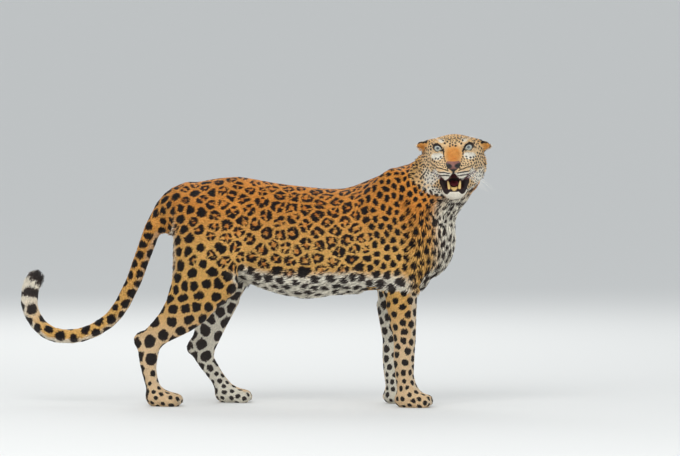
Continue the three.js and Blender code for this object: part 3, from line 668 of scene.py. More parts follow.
# The marks. On back and flanks each is a rosette of three to five black lobes round a tawny middle, on
# shoulders, thighs, legs and neck a solid spot, and on the face a dot. They stand about as far apart as
# they are wide. Nose, eyes and lips have a black edge, and the whisker pads rows of dark lines.
STROKES = [  # a line on the head and half its width, on both sides
    (((4, 24, -4), (14, 22, -10), (24, 20, -17)), 2.2),
    (((-6, 55, 1), (-18, 62, -3)), 1.8),
    (((76, 13, -42), (70, 26, -41), (52, 40, -41), (36, 47, -38)), 1.5),
    (((78, 11, -49), (70, 27, -48), (52, 41, -48), (34, 49, -45)), 1.6),
    (((78, 11, -56), (70, 26, -55), (52, 41, -55), (34, 49, -53)), 1.6),
    (((76, 12, -63), (68, 26, -62), (50, 40, -63)), 1.4),
    (((-12, 24, 25), (-24, 22, 32)), 1.8),
    (((-12, 34, 24), (-26, 36, 31)), 1.6),
    (((-8, 14, 20), (-20, 12, 28)), 1.6),
    (((-8, 5, 18), (-20, 5, 27)), 1.4),
    (((-30, 71, -26), (-50, 77, -36)), 2.0),
    (((-26, 72, -46), (-48, 78, -60)), 2.2),
    (((-22, 67, -66), (-42, 72, -84)), 2.2),
]
COLLARS = [  # seen from the front of the face: left and up, and half the width
    (((-36, -123), (-17, -142), (21, -137), (48, -115)), 3.4),
    (((-71, -169), (-48, -196), (-22, -214), (0, -216)), 4.0),
    (((-17, -172), (21, -172)), 3.0),
]
FRONT_UP = (-0.225, 0, 0.974)  # upwards, as the camera sees the face
LINES_FROM = -190  # along NAPE
skin_tree = tree_of(skin_points)
QUARTERS = np.array([[0.25], [0.5], [0.75], [1.0]])
laid_strokes = []  # each line laid on the skin
for line, half in STROKES:
    line = np.array(line, float)
    parts = [line[:1]] + [a + (b - a) * QUARTERS for a, b in zip(line[:-1], line[1:])]
    for side in (1, -1):
        wanted = off_head(np.concatenate(parts) * (1, side, 1))
        laid_strokes.append((np.array([head[skin_tree.find(point)[1]] for point in wanted]), half))


def strokes_at(head_points, normals):
    best = np.full(len(head_points), 9.0)
    for line, half in laid_strokes:
        close = np.flatnonzero(np.linalg.norm(head_points - line.mean(axis=0), axis=1) < 60)
        _, off, _ = along_line(head_points[close], line)
        best[close] = np.minimum(best[close], off / half)
    front_view = np.stack([head_points[:, 1], head_points @ FRONT_UP, np.zeros(len(head_points))], axis=1)
    seen = (normals @ head_axes[:, 0] > -0.1) & (head_points[:, 2] < -60)
    for line, half in COLLARS:
        flat_line = np.array([(a, b, 0) for a, b in line], float)
        _, off, _ = along_line(front_view, flat_line)
        best = np.where(seen, np.minimum(best, off / half), best)
    return best


shoulder = ramp(x, 150, 205) * ~on_head_part
rump = ramp(x, -190, -250) * ~on_tail * ~on_head_part
neck_zone = of_part("neck") * 1.0
lower_hind = of_part("hind") * ramp(z, 300, 230)
lower_fore = of_part("fore") * ramp(z, 400, 330)
low = on_legs * ramp(z, 130, 70)
back_line = on_trunk * ramp(z, 560, 590) * (1 - shoulder)
muzzle_side = on_head_part * ramp(fore, 10, 50)
head_back = on_head_part * ramp(fore, -30, -90)
ZONES = [  # where, how far apart its marks stand, and how wide they are
    (np.ones(len(x)), 37, 36),
    (back_line, 34, 29),
    (shoulder, 22.5, 20),
    (neck_zone, 19, 16),
    (rump, 32, 27),
    (underside, 33, 28),
    (lower_hind, 37, 32),
    (lower_fore, 27, 19.5),
    (low, 20, 12.5),
    (on_tail * 1.0, 31, 26),
    (on_head_part * 1.0, 10.0, 6.9),
    (on_head_part * forehead, 8.8, 5.6),
    (head_back, 14, 9.5),
    (muzzle_side, 9, 5.2),
]
spacing, mark_size = np.zeros(len(x)), np.zeros(len(x))
for where, apart, wide in ZONES:
    spacing += (apart - spacing) * where
    mark_size += (wide - mark_size) * where
ringed = (1 - shoulder) * (1 - neck_zone) * (1 - rump) * on_trunk * (1 - np.clip(underside * 1.5, 0, 1))
ringed = np.maximum(ringed, of_part("hind") * ramp(x, -260, -215) * ramp(z, 400, 430))
plain = np.clip(bridge * 1.4, 0, 1) + (leather > 0) + (mouth > 0) + (lip > 0) + (eye_edge < 0.6) + on_ear
plain = plain + (blob((62, 22, -52), (34, 30, 17)) > 0) + (blob((44, 0, -110), (50, 36, 20)) > 0.1)
plain = plain + (tail_at > 690) * on_tail
plain = plain + (strokes_at(head, facing) < 2.4)
blocked = plain > 0.5
SEED_GAP = 0.0008  # in metres, to each millimetre of the spacing
seeds = []
for number in rng.permutation(len(skin_points)):
    if blocked[number]:
        continue
    seeds.append(number)
    for _, other, _ in skin_tree.find_range(skin_points[number], spacing[number] * SEED_GAP):
        blocked[other] = True
seeds = np.array(seeds)
for _ in range(2):  # each mark moves to the middle of the ground round it
    seed_tree = tree_of(skin_points[seeds])
    ground = np.flatnonzero(plain <= 0.5)
    nearest = np.array([seed_tree.find(point)[1] for point in skin_points[ground]])
    sums = [np.bincount(nearest, skin_points[ground, axis], len(seeds)) for axis in range(3)]
    total = np.stack(sums, axis=1)
    number_near = np.bincount(nearest, minlength=len(seeds))
    moved = skin_points[seeds].copy()
    moved[number_near > 0] = (total / np.maximum(number_near, 1)[:, None])[number_near > 0]
    seeds = np.unique([skin_tree.find(point)[1] for point in moved])

spots = len(seeds)
spot_place, spot_normal = body[seeds], facing[seeds]
upright = (np.clip(shoulder + neck_zone, 0, 1) * (z > 380))[seeds, None]
spot_axis = lay[seeds] * (1 - upright) + np.array([0.25, 0, -1]) * upright
spot_axis = tangent(spot_axis, spot_normal)
turn = rng.normal(0, 0.35, spots)[:, None]
spot_first = spot_axis * np.cos(turn) + np.cross(spot_normal, spot_axis) * np.sin(turn)
spot_second = np.cross(spot_normal, spot_first)
spot_space = spacing[seeds] / 2
spot_size = mark_size[seeds] / 2 * rng.uniform(0.9, 1.15, spots)
stretch = rng.uniform(1.0, 1.25, spots) * (1 + 0.25 * upright[:, 0])
spot_ringed = rng.random(spots) < ringed[seeds] + 0.4 * rump[seeds] * (z[seeds] > 330)
stretch = np.where(spot_ringed, rng.uniform(1.0, 1.3, spots), stretch)
MOST_GAPS = 4  # in a ring
gap_turns = rng.uniform(0, 2 * math.pi, (spots, 1)) + 2 * math.pi * np.arange(MOST_GAPS) / MOST_GAPS
gap_turns = gap_turns + rng.normal(0, 0.22, (spots, MOST_GAPS))
gap_halves = rng.uniform(0.8, 2.6, (spots, MOST_GAPS)) * (rng.random((spots, MOST_GAPS)) < 0.75)
ring_inside = spot_size * rng.uniform(0.22, 0.40, spots)
ring_shift = rng.normal(0, 0.10, (spots, 2)) * spot_size[:, None]
between_marks = np.minimum(7.0, 0.3 * spacing[seeds])  # of plain ground between two marks
CELL = 40.0


def cells_of(points):
    keys = np.floor(points / CELL).astype(int)
    order = np.lexsort(keys.T)
    sorted_keys = keys[order]
    change = np.flatnonzero((np.diff(sorted_keys, axis=0) != 0).any(axis=1)) + 1
    groups = np.split(order, change)
    return {tuple(keys[group[0]]): group for group in groups}


def nearby(cells, place):
    base = np.floor(place / CELL).astype(int)
    steps = [(i, j, k) for i in (-1, 0, 1) for j in (-1, 0, 1) for k in (-1, 0, 1)]
    keys = [(base[0] + i, base[1] + j, base[2] + k) for i, j, k in steps]
    found = [cells[key] for key in keys if key in cells]
    return np.concatenate(found) if found else np.empty(0, int)


def marks_at(points, normals):
    # Gives the mark, which is 0.5 at its edge and more inside it, and 1 in the middle of a rosette.
    cells = cells_of(points)
    first_off = np.full(len(points), 9.0)
    second_off = np.full(len(points), 9.0)
    owner = np.full(len(points), -1)
    for spot in range(spots):
        near = nearby(cells, spot_place[spot])
        away = points[near] - spot_place[spot]
        along = away @ spot_first[spot] / stretch[spot] ** 0.5
        across = away @ spot_second[spot] * stretch[spot] ** 0.5
        through = away @ spot_normal[spot]
        off = np.sqrt(along**2 + across**2 + 0.5 * through**2) / spot_space[spot]
        off = off + 9 * (normals[near] @ spot_normal[spot] < -0.1)
        closer = off < first_off[near]
        second_off[near] = np.where(closer, first_off[near], np.minimum(second_off[near], off))
        first_off[near] = np.where(closer, off, first_off[near])
        owner[near[closer]] = spot
    away = points - spot_place[owner]
    along = (away * spot_first[owner]).sum(axis=1)
    across = (away * spot_second[owner]).sum(axis=1)
    wide = stretch[owner] ** 0.5
    out = np.hypot(along / wide, across * wide)
    border = (second_off - first_off) / 2 * spot_space[owner] - between_marks[owner] / 2
    inside = np.minimum(border, spot_size[owner] - out)
    ring_out = np.hypot(along - ring_shift[owner, 0], across - ring_shift[owner, 1])
    hole = ring_inside[owner]
    ring = ring_out - hole
    for gap in range(MOST_GAPS):
        gap_turn = gap_turns[owner, gap]
        beside = abs(across * np.cos(gap_turn) - along * np.sin(gap_turn))
        ahead = along * np.cos(gap_turn) + across * np.sin(gap_turn)
        cut = np.where(ahead > 0, beside - gap_halves[owner, gap], 9.0)
        ring = np.minimum(ring, np.where(gap_halves[owner, gap] > 0, cut, 9.0))
    ring_mark = np.minimum(inside, ring)
    inside = np.where(spot_ringed[owner], ring_mark, inside)
    soft = np.clip(spot_size[owner] * 0.6, 2.2, 9)
    mark = np.where((owner >= 0) & (first_off < 3), 0.5 + inside / soft, 0)
    middle = np.where(spot_ringed[owner], ramp(ring_out, hole * 1.7, hole * 1.1), 0)
    head_points = on_head(points / 1000 + body_origin)
    near_head = head_points @ NAPE > LINES_FROM
    lines = np.zeros(len(points))
    lines[near_head] = 1.5 - strokes_at(head_points[near_head], normals[near_head])
    return np.clip(np.maximum(mark, lines), 0, 1.5), middle


tail_rings = np.zeros(len(skin_points))
for ring_at, half in ((706, 14), (752, 15), (797, 15), (846, 20)):
    tail_rings = np.maximum(tail_rings, 1.5 - abs(tail_at - ring_at + 6 * np.sin(y / 9)) / half)
tail_rings *= on_tail * (1 - 0.55 * ramp(tail_under, 0.1, 0.7))
fixed_mark = np.maximum.reduce([tail_rings, ear_black * 1.1, eye_rim, lip * 1.2])
metatarsus = of_part("hind") * ramp(facing[:, 0], -0.4, -0.85) * ramp(z, 200, 160) * ramp(z, 12, 30)
metatarsus = metatarsus * ramp(x, 0, -20)
fixed_mark = np.maximum(fixed_mark, 0.62 * metatarsus)
vertex_mark, rosette = marks_at(body, facing)
fixed_tawny = bridge * (0.35 + 0.65 * ramp(fore, 25, 70)) * ramp(abs(left), 30, 6)
rosette = np.maximum(rosette, fixed_tawny)
vertex_mark = np.maximum(vertex_mark * (1 - ramp(bare, 0.2, 0.6)), fixed_mark)


def keep_on(mesh, name, values):
    mesh.attributes.new(name, "FLOAT", "POINT").data.foreach_set("value", values.astype(np.float32))


for name, values in (
    ("mark", vertex_mark),
    ("rosette", rosette),
    ("white", white),
    ("deep", deep),
    ("tone", np.full(len(white), 0.42)),
    ("mouth", mouth),
):
    keep_on(skin.data, name, values)


class Paint:  # a material's node tree, written as sums
    def __init__(self, name):
        self.material = bpy.data.materials.new(name)
        self.material.use_nodes = True
        self.nodes = self.material.node_tree.nodes
        self.links = self.material.node_tree.links
        self.shader = self.nodes["Principled BSDF"]

    def attribute(self, name):
        node = self.nodes.new("ShaderNodeAttribute")
        node.attribute_name = name
        return node.outputs["Fac"]

    def sum(self, kind, *values):
        node = self.nodes.new("ShaderNodeMath")
        node.operation = kind
        for socket, value in zip(node.inputs, values):
            self.feed(socket, value)
        return node.outputs[0]

    def feed(self, socket, value):
        if isinstance(value, (int, float, tuple)):
            socket.default_value = value
        else:
            self.links.new(value, socket)

    def noise(self, scale, detail=2.0, roughness=0.5):
        place = self.nodes.new("ShaderNodeTexCoord")
        node = self.nodes.new("ShaderNodeTexNoise")
        self.links.new(place.outputs["Object"], node.inputs["Vector"])
        node.inputs["Scale"].default_value = scale
        node.inputs["Detail"].default_value = detail
        node.inputs["Roughness"].default_value = roughness
        return node.outputs[0]

    def step(self, value, start, end):
        node = self.nodes.new("ShaderNodeMapRange")
        node.interpolation_type = "SMOOTHSTEP"
        self.feed(node.inputs["Value"], value)
        node.inputs["From Min"].default_value = start
        node.inputs["From Max"].default_value = end
        return node.outputs[0]

    def mix(self, share, a, b):
        node = self.nodes.new("ShaderNodeMix")
        node.data_type = "RGBA"
        self.feed(node.inputs["Factor"], share)
        self.feed(node.inputs[6], a)
        self.feed(node.inputs[7], b)
        return node.outputs[2]

    def sway(self, value, amount):  # a noise's swing to both sides of its middle
        return self.sum("MULTIPLY", self.sum("SUBTRACT", value, 0.5), amount)

    def scale_colour(self, colour, amount):
        node = self.nodes.new("ShaderNodeVectorMath")
        node.operation = "SCALE"
        self.feed(node.inputs[0], colour)
        self.feed(node.inputs["Scale"], amount)
        return node.outputs[0]

    def relief(self, height, strength, depth):
        node = self.nodes.new("ShaderNodeBump")
        node.inputs["Strength"].default_value = strength
        node.inputs["Distance"].default_value = depth
        self.feed(node.inputs["Height"], height)
        self.feed(self.shader.inputs["Normal"], node.outputs["Normal"])

    def dress(self, colour, finish):  # finish holds the sockets that stay the same all over
        self.feed(self.shader.inputs["Base Color"], colour)
        for socket, value in finish.items():
            self.shader.inputs[socket].default_value = value


def colour(red, green, blue):  # from screen values of 0 to 255
    values = [v / 255 for v in (red, green, blue)]
    return tuple(v / 12.92 if v <= 0.04045 else ((v + 0.055) / 1.055) ** 2.4 for v in values) + (1.0,)


GOLD, BACK_GOLD = colour(238, 186, 104), colour(232, 154, 66)
CREAM, TAWNY = colour(244, 237, 220), colour(210, 122, 46)
MARK_BLACK, MARK_BROWN, MARK_GREY = colour(20, 13, 11), colour(58, 34, 20), colour(84, 76, 72)
# the mouth's inside: its flesh's own red, darkened with painted shade
MOUTH_RED_AND_PAINTED_SHADE = colour(72, 20, 28)


def coat_paint(name, bump):
    paint = Paint(name)
    fine, middling, broad = paint.noise(260, 2.0), paint.noise(75, 1.0), paint.noise(14, 2.0)
    ground = paint.mix(paint.attribute("deep"), GOLD, BACK_GOLD)
    ground = paint.mix(paint.step(paint.attribute("white"), 0.0, 1.0), ground, CREAM)
    tawny_share = paint.sum("MULTIPLY", paint.attribute("rosette"), paint.step(middling, 0.2, 0.75))
    ground = paint.mix(tawny_share, ground, TAWNY)
    edge = paint.sum("ADD", paint.attribute("mark"), paint.sway(fine, 0.4))
    edge = paint.sum("ADD", edge, paint.sway(middling, 0.9))
    black = paint.mix(paint.step(edge, 0.5, 1.1), MARK_BROWN, MARK_BLACK)
    black = paint.mix(paint.sum("MULTIPLY", paint.attribute("white"), 0.45), black, MARK_GREY)
    painted = paint.mix(paint.step(edge, 0.42, 0.56), ground, black)
    # the inside of the mouth takes its red with painted shade
    painted = paint.mix(paint.attribute("mouth"), painted, MOUTH_RED_AND_PAINTED_SHADE)
    light = paint.sum("ADD", paint.sum("MULTIPLY", paint.attribute("tone"), 0.5), 0.72)
    light = paint.sum("ADD", light, paint.sway(broad, 0.3))
    paint.dress(paint.scale_colour(painted, light), {"Roughness": 0.62, "Specular IOR Level": 0.3})
    if bump:
        paint.relief(paint.noise(900, 3.0, 0.6), 0.5, 0.001)
    return paint.material


skin.data.materials.clear()
skin.data.materials.append(coat_paint("hide", True))

# The coat over the hide: some three hundred thousand small flat tufts, each a closed sliver that lies back
# over the next, and longer bent locks where the hair is long. Each has the marks of its own place.
skin.data.calc_loop_triangles()
triangles = read(skin.data.loop_triangles, "vertices", 3, np.int32)
triangle_loops = read(skin.data.loop_triangles, "loops", 3, np.int32)
loop_uv = read(skin.data.uv_layers.active.data, "uv", 2)

corner = skin_points[triangles]
cross = np.cross(corner[:, 1] - corner[:, 0], corner[:, 2] - corner[:, 0])
area = np.linalg.norm(cross, axis=1) / 2 * 1e6
longest = np.clip(belly + chest + thigh_back + 0.8 * tail_tip + 0.5 * ruff + 2 * ear_fringe, 0, 1)
length = length + 10 * ear_fringe
sole = (z < 2.5) & on_legs
furred = (bare <= 0.35) & ~sole


def strew(wanted, per_area):  # strewn roots: their triangle and their place in it
    expected = area * per_area[triangles].mean(axis=1) * wanted[triangles].all(axis=1)
    count = np.floor(expected + rng.random(len(expected))).astype(int)
    home = np.repeat(np.arange(len(triangles)), count)
    a, b = rng.random((2, len(home)))
    over = a + b > 1
    a[over], b[over] = 1 - a[over], 1 - b[over]
    return home, np.stack([1 - a - b, a, b], axis=1)


def blend_at(values, home, share):
    if values.ndim == 1:
        return (values[triangles[home]] * share).sum(axis=1)
    return (values[triangles[home]] * share[:, :, None]).sum(axis=1)


HAIR_PAINT = coat_paint("coat_hair", False)
UV_PATCH = 0.003  # width of each tuft's own patch
LARGEST_PIECE = 190000  # triangles
MARK_FROM = 0.5  # part of its length from the root where a tuft takes its mark
SWING = 0.16  # of the tufts to both sides of the lie


def coat_piece(name, points, faces, uv, values):  # one mesh of many tufts, which all have the same faces
    corners_per = points.shape[1]
    starts = np.arange(len(points))[:, None, None] * corners_per
    corners = (np.array(faces)[None] + starts).reshape(-1)
    mesh = bpy.data.meshes.new(name)
    mesh.vertices.add(len(points) * corners_per)
    mesh.vertices.foreach_set("co", (points.reshape(-1, 3) / 1000).astype(np.float32).ravel())
    mesh.loops.add(len(corners))
    mesh.loops.foreach_set("vertex_index", corners.astype(np.int32))
    mesh.polygons.add(len(corners) // 3)
    mesh.polygons.foreach_set("loop_start", np.arange(0, len(corners), 3, dtype=np.int32))
    mesh.update(calc_edges=True)
    for value_name, value in values.items():
        keep_on(mesh, value_name, np.repeat(value, corners_per))
    corner_uv = uv.reshape(-1, 2)[corners].astype(np.float32)
    mesh.uv_layers.new(name="OFBake").data.foreach_set("uv", corner_uv.ravel())
    mesh.materials.append(HAIR_PAINT)
    piece = bpy.data.objects.new(mesh.name, mesh)
    bpy.context.collection.objects.link(piece)
    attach(piece, "root")


group_of_part = np.array(
    [[node.startswith(words) for words in COAT_PARTS.values()].index(True) for node in PARTS]
)


def grow(name, roots, kind, tone_spread):
    home, share = roots
    faces, patch, shape = kind
    root = blend_at(skin_points, home, share) * 1000
    normal = unit(blend_at(skin_normals, home, share))
    course = tangent(blend_at(lay, home, share), normal)
    aside = np.cross(normal, course)
    swing = rng.normal(0, SWING, len(home))
    course = unit(course + aside * swing[:, None])
    aside = np.cross(normal, course)
    size = blend_at(length, home, share) * rng.uniform(0.8, 1.2, len(home))
    points = shape(root, normal, course, aside, size)
    at = root + course * size[:, None] * MARK_FROM - body_origin * 1000
    mark, middle = marks_at(at, normal)
    values = {
        "mark": np.maximum(mark, blend_at(fixed_mark, home, share)),
        "rosette": np.maximum(middle, blend_at(fixed_tawny, home, share)),
        "white": blend_at(white, home, share),
        "deep": blend_at(deep, home, share),
        "tone": np.clip(rng.normal(0.5, tone_spread, len(home)), 0, 1),
    }
    uv = (loop_uv[triangle_loops[home]] * share[:, :, None]).sum(axis=1)
    uv = uv[:, None] + (np.array(patch) * UV_PATCH)[None]
    group = group_of_part[part[triangles[home][:, 0]]]
    order = np.lexsort((root[:, 0], group))
    most = LARGEST_PIECE // len(faces)
    for number, word in enumerate(COAT_PARTS):
        mine = order[group[order] == number]
        pieces = max(1, math.ceil(len(mine) / most))
        for piece_number, chosen in enumerate(np.array_split(mine, pieces)):
            if len(chosen) == 0:
                continue
            chosen_values = {value_name: value[chosen] for value_name, value in values.items()}
            piece_name = f"{name}_{word}_{piece_number + 1}"
            coat_piece(piece_name, points[chosen], faces, uv[chosen], chosen_values)


# A tuft is a sliver with its root in the hide, two corners beside its middle, and its tip.
def tuft_shape(root, normal, course, aside, size):
    wide = (0.085 * size + 0.25)[:, None]
    size = size[:, None]
    lift = (0.10 + 0.06 * rng.random(len(root)))[:, None]
    middle = root + course * size * 0.42 + normal * (size * lift * 0.75 + 0.3)
    tip = root + course * size + normal * size * lift
    return np.stack([root - normal * 0.5, middle - aside * wide, middle + aside * wide, tip], axis=1)


# A lock has three corners at its root, three at its middle, where it bends, and its tip, which sags.
def lock_shape(root, normal, course, aside, size):
    size = size[:, None] * 1.35
    wide = 0.035 * size + 0.25
    lift = rng.uniform(0.10, 0.30, (len(root), 1))
    foot = root - normal * 0.6
    middle = root + course * size * 0.5 + normal * size * (lift + 0.08)
    sag = np.array([0, 0, -1.0]) * size * 0.10
    tip = root + course * size + normal * size * lift + sag
    foot_corners = [foot - aside * wide, foot + aside * wide, foot + normal * wide]
    middle_corners = [middle - aside * wide, middle + aside * wide, middle + normal * wide * 0.8]
    return np.stack([*foot_corners, *middle_corners, tip], axis=1)


TUFT_PATCH = ((0, 0), (1, 0), (0, 1), (1, 1))
LOCK_PATCH = (*TUFT_PATCH, (0.5, 0), (0, 0.5), (1, 0.5))
TUFT_FACES = ((0, 2, 1), (0, 1, 3), (0, 3, 2), (1, 2, 3))
LOCK_END_FACES = ((3, 4, 6), (4, 5, 6), (5, 3, 6))
LOCK_FACES = ((0, 2, 1), (0, 1, 4), (0, 4, 3), (1, 2, 5), (1, 5, 4), (2, 0, 3), (2, 3, 5), *LOCK_END_FACES)
TUFTS_PER_AREA = {"body": 0.215, "legs": 0.24, "head": 0.9, "face": 1.9}  # to a square millimetre
LOCKS_PER_AREA = {"long hair": 0.145, "ear edge": 0.5}
per_area = np.where(on_head_part, TUFTS_PER_AREA["head"], TUFTS_PER_AREA["body"])
per_area = np.where(on_legs, TUFTS_PER_AREA["legs"], per_area)
per_area = np.where(on_head_part & (fore > 0), TUFTS_PER_AREA["face"], per_area)
grow("tufts", strew(furred, per_area), (TUFT_FACES, TUFT_PATCH, tuft_shape), 0.2)
locks_wanted = LOCKS_PER_AREA["long hair"] * longest + LOCKS_PER_AREA["ear edge"] * ear_fringe
grow("locks", strew(furred & (longest > 0.12), locks_wanted), (LOCK_FACES, LOCK_PATCH, lock_shape), 0.22)

# The eyes: a glossy ball each, with a pale grey-green iris round a small dark pupil, looking forwards
# and up.
GAZE_UP, GAZE_OUT = 0.32, 0.28
IRIS_BANDS = (  # where each begins and is full, in degrees off the axis of the gaze, and its colour
    (32.0, 42.0, (112, 110, 90)),
    (42.0, 44.5, (26, 17, 12)),  # black edge
    (14.7, 12.9, (50, 57, 62)),  # pupil
)
CORNEA_RISE = 0.0012
iris_paint = Paint("iris_and_cornea")
off_axis = iris_paint.attribute("off_axis")
streaks = iris_paint.noise(700, 3.0)
iris = iris_paint.mix(streaks, colour(122, 128, 118), colour(184, 188, 178))
for begin, full, shade in IRIS_BANDS:
    iris = iris_paint.mix(iris_paint.step(off_axis, begin, full), iris, colour(*shade))
iris_paint.dress(iris, {"Roughness": 0.18, "Coat Weight": 1.0, "Coat Roughness": 0.03})
for word, side in (("left", 1), ("right", -1)):
    gaze = unit(head_axes @ np.array([1.0, side * GAZE_OUT, GAZE_UP]))
    turned = Vector(gaze).to_track_quat("Z", "Y").to_euler()
    bpy.ops.object.select_all(action="DESELECT")
    bpy.ops.mesh.primitive_uv_sphere_add(
        segments=48, ring_count=60, radius=EYE_RADIUS, location=Vector(eye_centres[word]), rotation=turned
    )
    bpy.ops.object.transform_apply(location=True, rotation=True, scale=True)
    eyeball = bpy.context.object
    eyeball.name = "eyeball_" + word
    bpy.ops.object.shade_smooth()
    ball_points = vertices_of(eyeball) - eye_centres[word]
    cosine = np.clip(unit(ball_points) @ gaze, -1, 1)
    angle = np.degrees(np.arccos(cosine))
    cornea = ramp(angle, 42, 12)[:, None] * CORNEA_RISE
    move_vertices(eyeball, eye_centres[word] + ball_points + unit(ball_points) * cornea)
    keep_on(eyeball.data, "off_axis", angle)
    eyeball.data.materials.append(iris_paint.material)
    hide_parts("eye_" + word)
    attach(eyeball, "root")

# The nose: bare, moist, pebbled leather, pinkish brown with black edges, which runs down in a black groove
# between the whisker pads. It is a thin hide of its own over the skin.
LEATHER_RISE, LEATHER_THICKNESS = 0.0011, 0.0024
only(skin)
bpy.ops.object.duplicate()
nose = bpy.context.object
nose.name = "nose_leather"
nose.data.materials.clear()
edit_chosen(nose, "VERT", nose.data.vertices, leather < 0.45, bpy.ops.mesh.delete, type="VERT")
nose_points = vertices_of(nose)
move_vertices(nose, nose_points + normals_of(nose) * LEATHER_RISE)
nose_head = on_head(nose_points)
off_middle, nose_level = abs(nose_head[:, 1]), nose_head[:, 2]
nose_edge = np.interp(nose_level, levels, widths, left=0, right=0) - off_middle
nostril = np.hypot((off_middle - 12.5) / 9.5, (nose_level + 30.5) / 5.6)
dark = np.maximum.reduce([ramp(nose_edge, 4.2, 1.2), ramp(nostril, 1.2, 0.8), ramp(nose_level, -33, -40)])
dark = dark * ramp(nose_level, -20, -25)
keep_on(nose.data, "dark", dark)
thick = nose.modifiers.new("thick", "SOLIDIFY")
thick.thickness = LEATHER_THICKNESS
thick.offset = -1
bpy.ops.object.modifier_apply(modifier=thick.name)
leather_paint = Paint("nose_leather")
leather_colour = leather_paint.mix(leather_paint.noise(160, 2.0), colour(104, 62, 54), colour(150, 98, 84))
leather_colour = leather_paint.mix(leather_paint.attribute("dark"), leather_colour, colour(18, 12, 12))
leather_paint.dress(leather_colour, {"Roughness": 0.42})
pebbles = leather_paint.nodes.new("ShaderNodeTexVoronoi")
pebbles.inputs["Scale"].default_value = 900
pebble_place = leather_paint.nodes.new("ShaderNodeTexCoord")
leather_paint.feed(pebbles.inputs["Vector"], pebble_place.outputs["Object"])
leather_paint.relief(pebbles.outputs["Distance"], 0.5, 0.0008)
nose.data.materials.append(leather_paint.material)
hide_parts("nose")
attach(nose, "root")

# The teeth of the lower jaw: two canines of old ivory, bent back and leaning out, and six small incisors
# between them, all standing in the gum.
ivory = Paint("tooth_ivory")
ivory_colour = ivory.mix(ivory.noise(120, 2.0), colour(214, 168, 84), colour(238, 208, 140))
ivory.dress(ivory_colour, {"Roughness": 0.28, "Coat Weight": 0.4})


def set_in_jaw(piece, place):  # from its own upright place in millimetres to its place in the open jaw
    local = vertices_of(piece) * 1000 + np.array(place)
    move_vertices(piece, off_head(off_jaw(local)))


CANINE_HEIGHT, CANINE_RADIUS = 30.0, 5.5
CANINE_LENGTH = 38.0  # with the root in the gum
CANINE_PLACE = np.array([59, 12, -74])  # on the shut jaw, where it leaves the gum
CANINE_LEAN = 5.0  # outwards, at the tip
INCISORS, INCISOR_STEP = 6, 2.7
INCISOR_RADII = np.array([2.0, 1.45, 8.0])
teeth = []
for side in (1, -1):
    bpy.ops.object.select_all(action="DESELECT")
    bpy.ops.mesh.primitive_cylinder_add(
        vertices=24, radius=CANINE_RADIUS / 1000, depth=CANINE_LENGTH / 1000, end_fill_type="TRIFAN"
    )
    canine = bpy.context.object
    edit_all(bpy.ops.mesh.subdivide, number_cuts=6)
    tooth = vertices_of(canine) * 1000
    height = tooth[:, 2] + CANINE_HEIGHT - CANINE_LENGTH / 2  # over the gum
    share = np.clip(height / CANINE_HEIGHT, 0, 1)
    girth = np.sqrt(np.clip(1 - share**1.7, 0, 1)) * (1 - 0.12 * share)
    tooth[:, :2] *= girth[:, None] * (1.0, 0.86)
    tooth[:, 0] += 1.5 * share - 5.5 * share**2
    tooth[:, 1] += side * CANINE_LEAN * share
    tooth[:, 2] = height
    move_vertices(canine, tooth / 1000)
    set_in_jaw(canine, CANINE_PLACE * (1, side, 1))
    bpy.ops.object.shade_smooth()
    teeth.append(canine)
for number in range(INCISORS):
    across = number - (INCISORS - 1) / 2
    bpy.ops.object.select_all(action="DESELECT")
    bpy.ops.mesh.primitive_uv_sphere_add(segments=16, ring_count=12, radius=0.001)
    incisor = bpy.context.object
    grain = vertices_of(incisor) * INCISOR_RADII
    grain[:, 1] *= 1 + 0.25 * ramp(grain[:, 2] * 1000, 0, 7)
    move_vertices(incisor, grain)
    set_in_jaw(incisor, (67 - across**2 * 0.5, across * INCISOR_STEP, -68))
    bpy.ops.object.shade_smooth()
    teeth.append(incisor)
only(teeth[0])
for tooth in teeth:
    tooth.select_set(True)
bpy.ops.object.join()
lower_teeth = bpy.context.object
lower_teeth.name = "lower_teeth"
bpy.ops.object.transform_apply(location=True, rotation=True, scale=True)
lower_teeth.data.materials.append(ivory.material)
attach(lower_teeth, "root")

# The tongue: a wet, rough muscle that lies low between the canines, with a furrow down its middle, painted
# its own red darkened with painted shade.
bpy.ops.object.select_all(action="DESELECT")
bpy.ops.mesh.primitive_uv_sphere_add(segments=40, ring_count=28, radius=0.001)
tongue = bpy.context.object
tongue.name = "tongue_muscle"
TONGUE_RADII, FURROW_WIDTH, FURROW_DEPTH = np.array([33, 13.5, 5.5]), 2.5, 0.0014
muscle = vertices_of(tongue) * TONGUE_RADII
furrow = np.exp(-((muscle[:, 1] * 1000 / FURROW_WIDTH) ** 2)) * ramp(muscle[:, 2] * 1000, 0, 4)
muscle[:, 2] -= FURROW_DEPTH * furrow
move_vertices(tongue, muscle)
set_in_jaw(tongue, (22, 0, -63))
bpy.ops.object.shade_smooth()
tongue_paint = Paint("tongue_skin")
# the tongue's own red, darkened with painted shade from the mouth round it
tongue_red_with_painted_shade = tongue_paint.mix(tongue_paint.noise(90, 2.0), colour(96, 34, 42), colour(132, 58, 66))
tongue_paint.dress(tongue_red_with_painted_shade, {"Roughness": 0.35})
tongue_paint.relief(tongue_paint.noise(700, 2.0), 0.6, 0.001)
tongue.data.materials.append(tongue_paint.material)
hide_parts("tongue")
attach(tongue, "root")

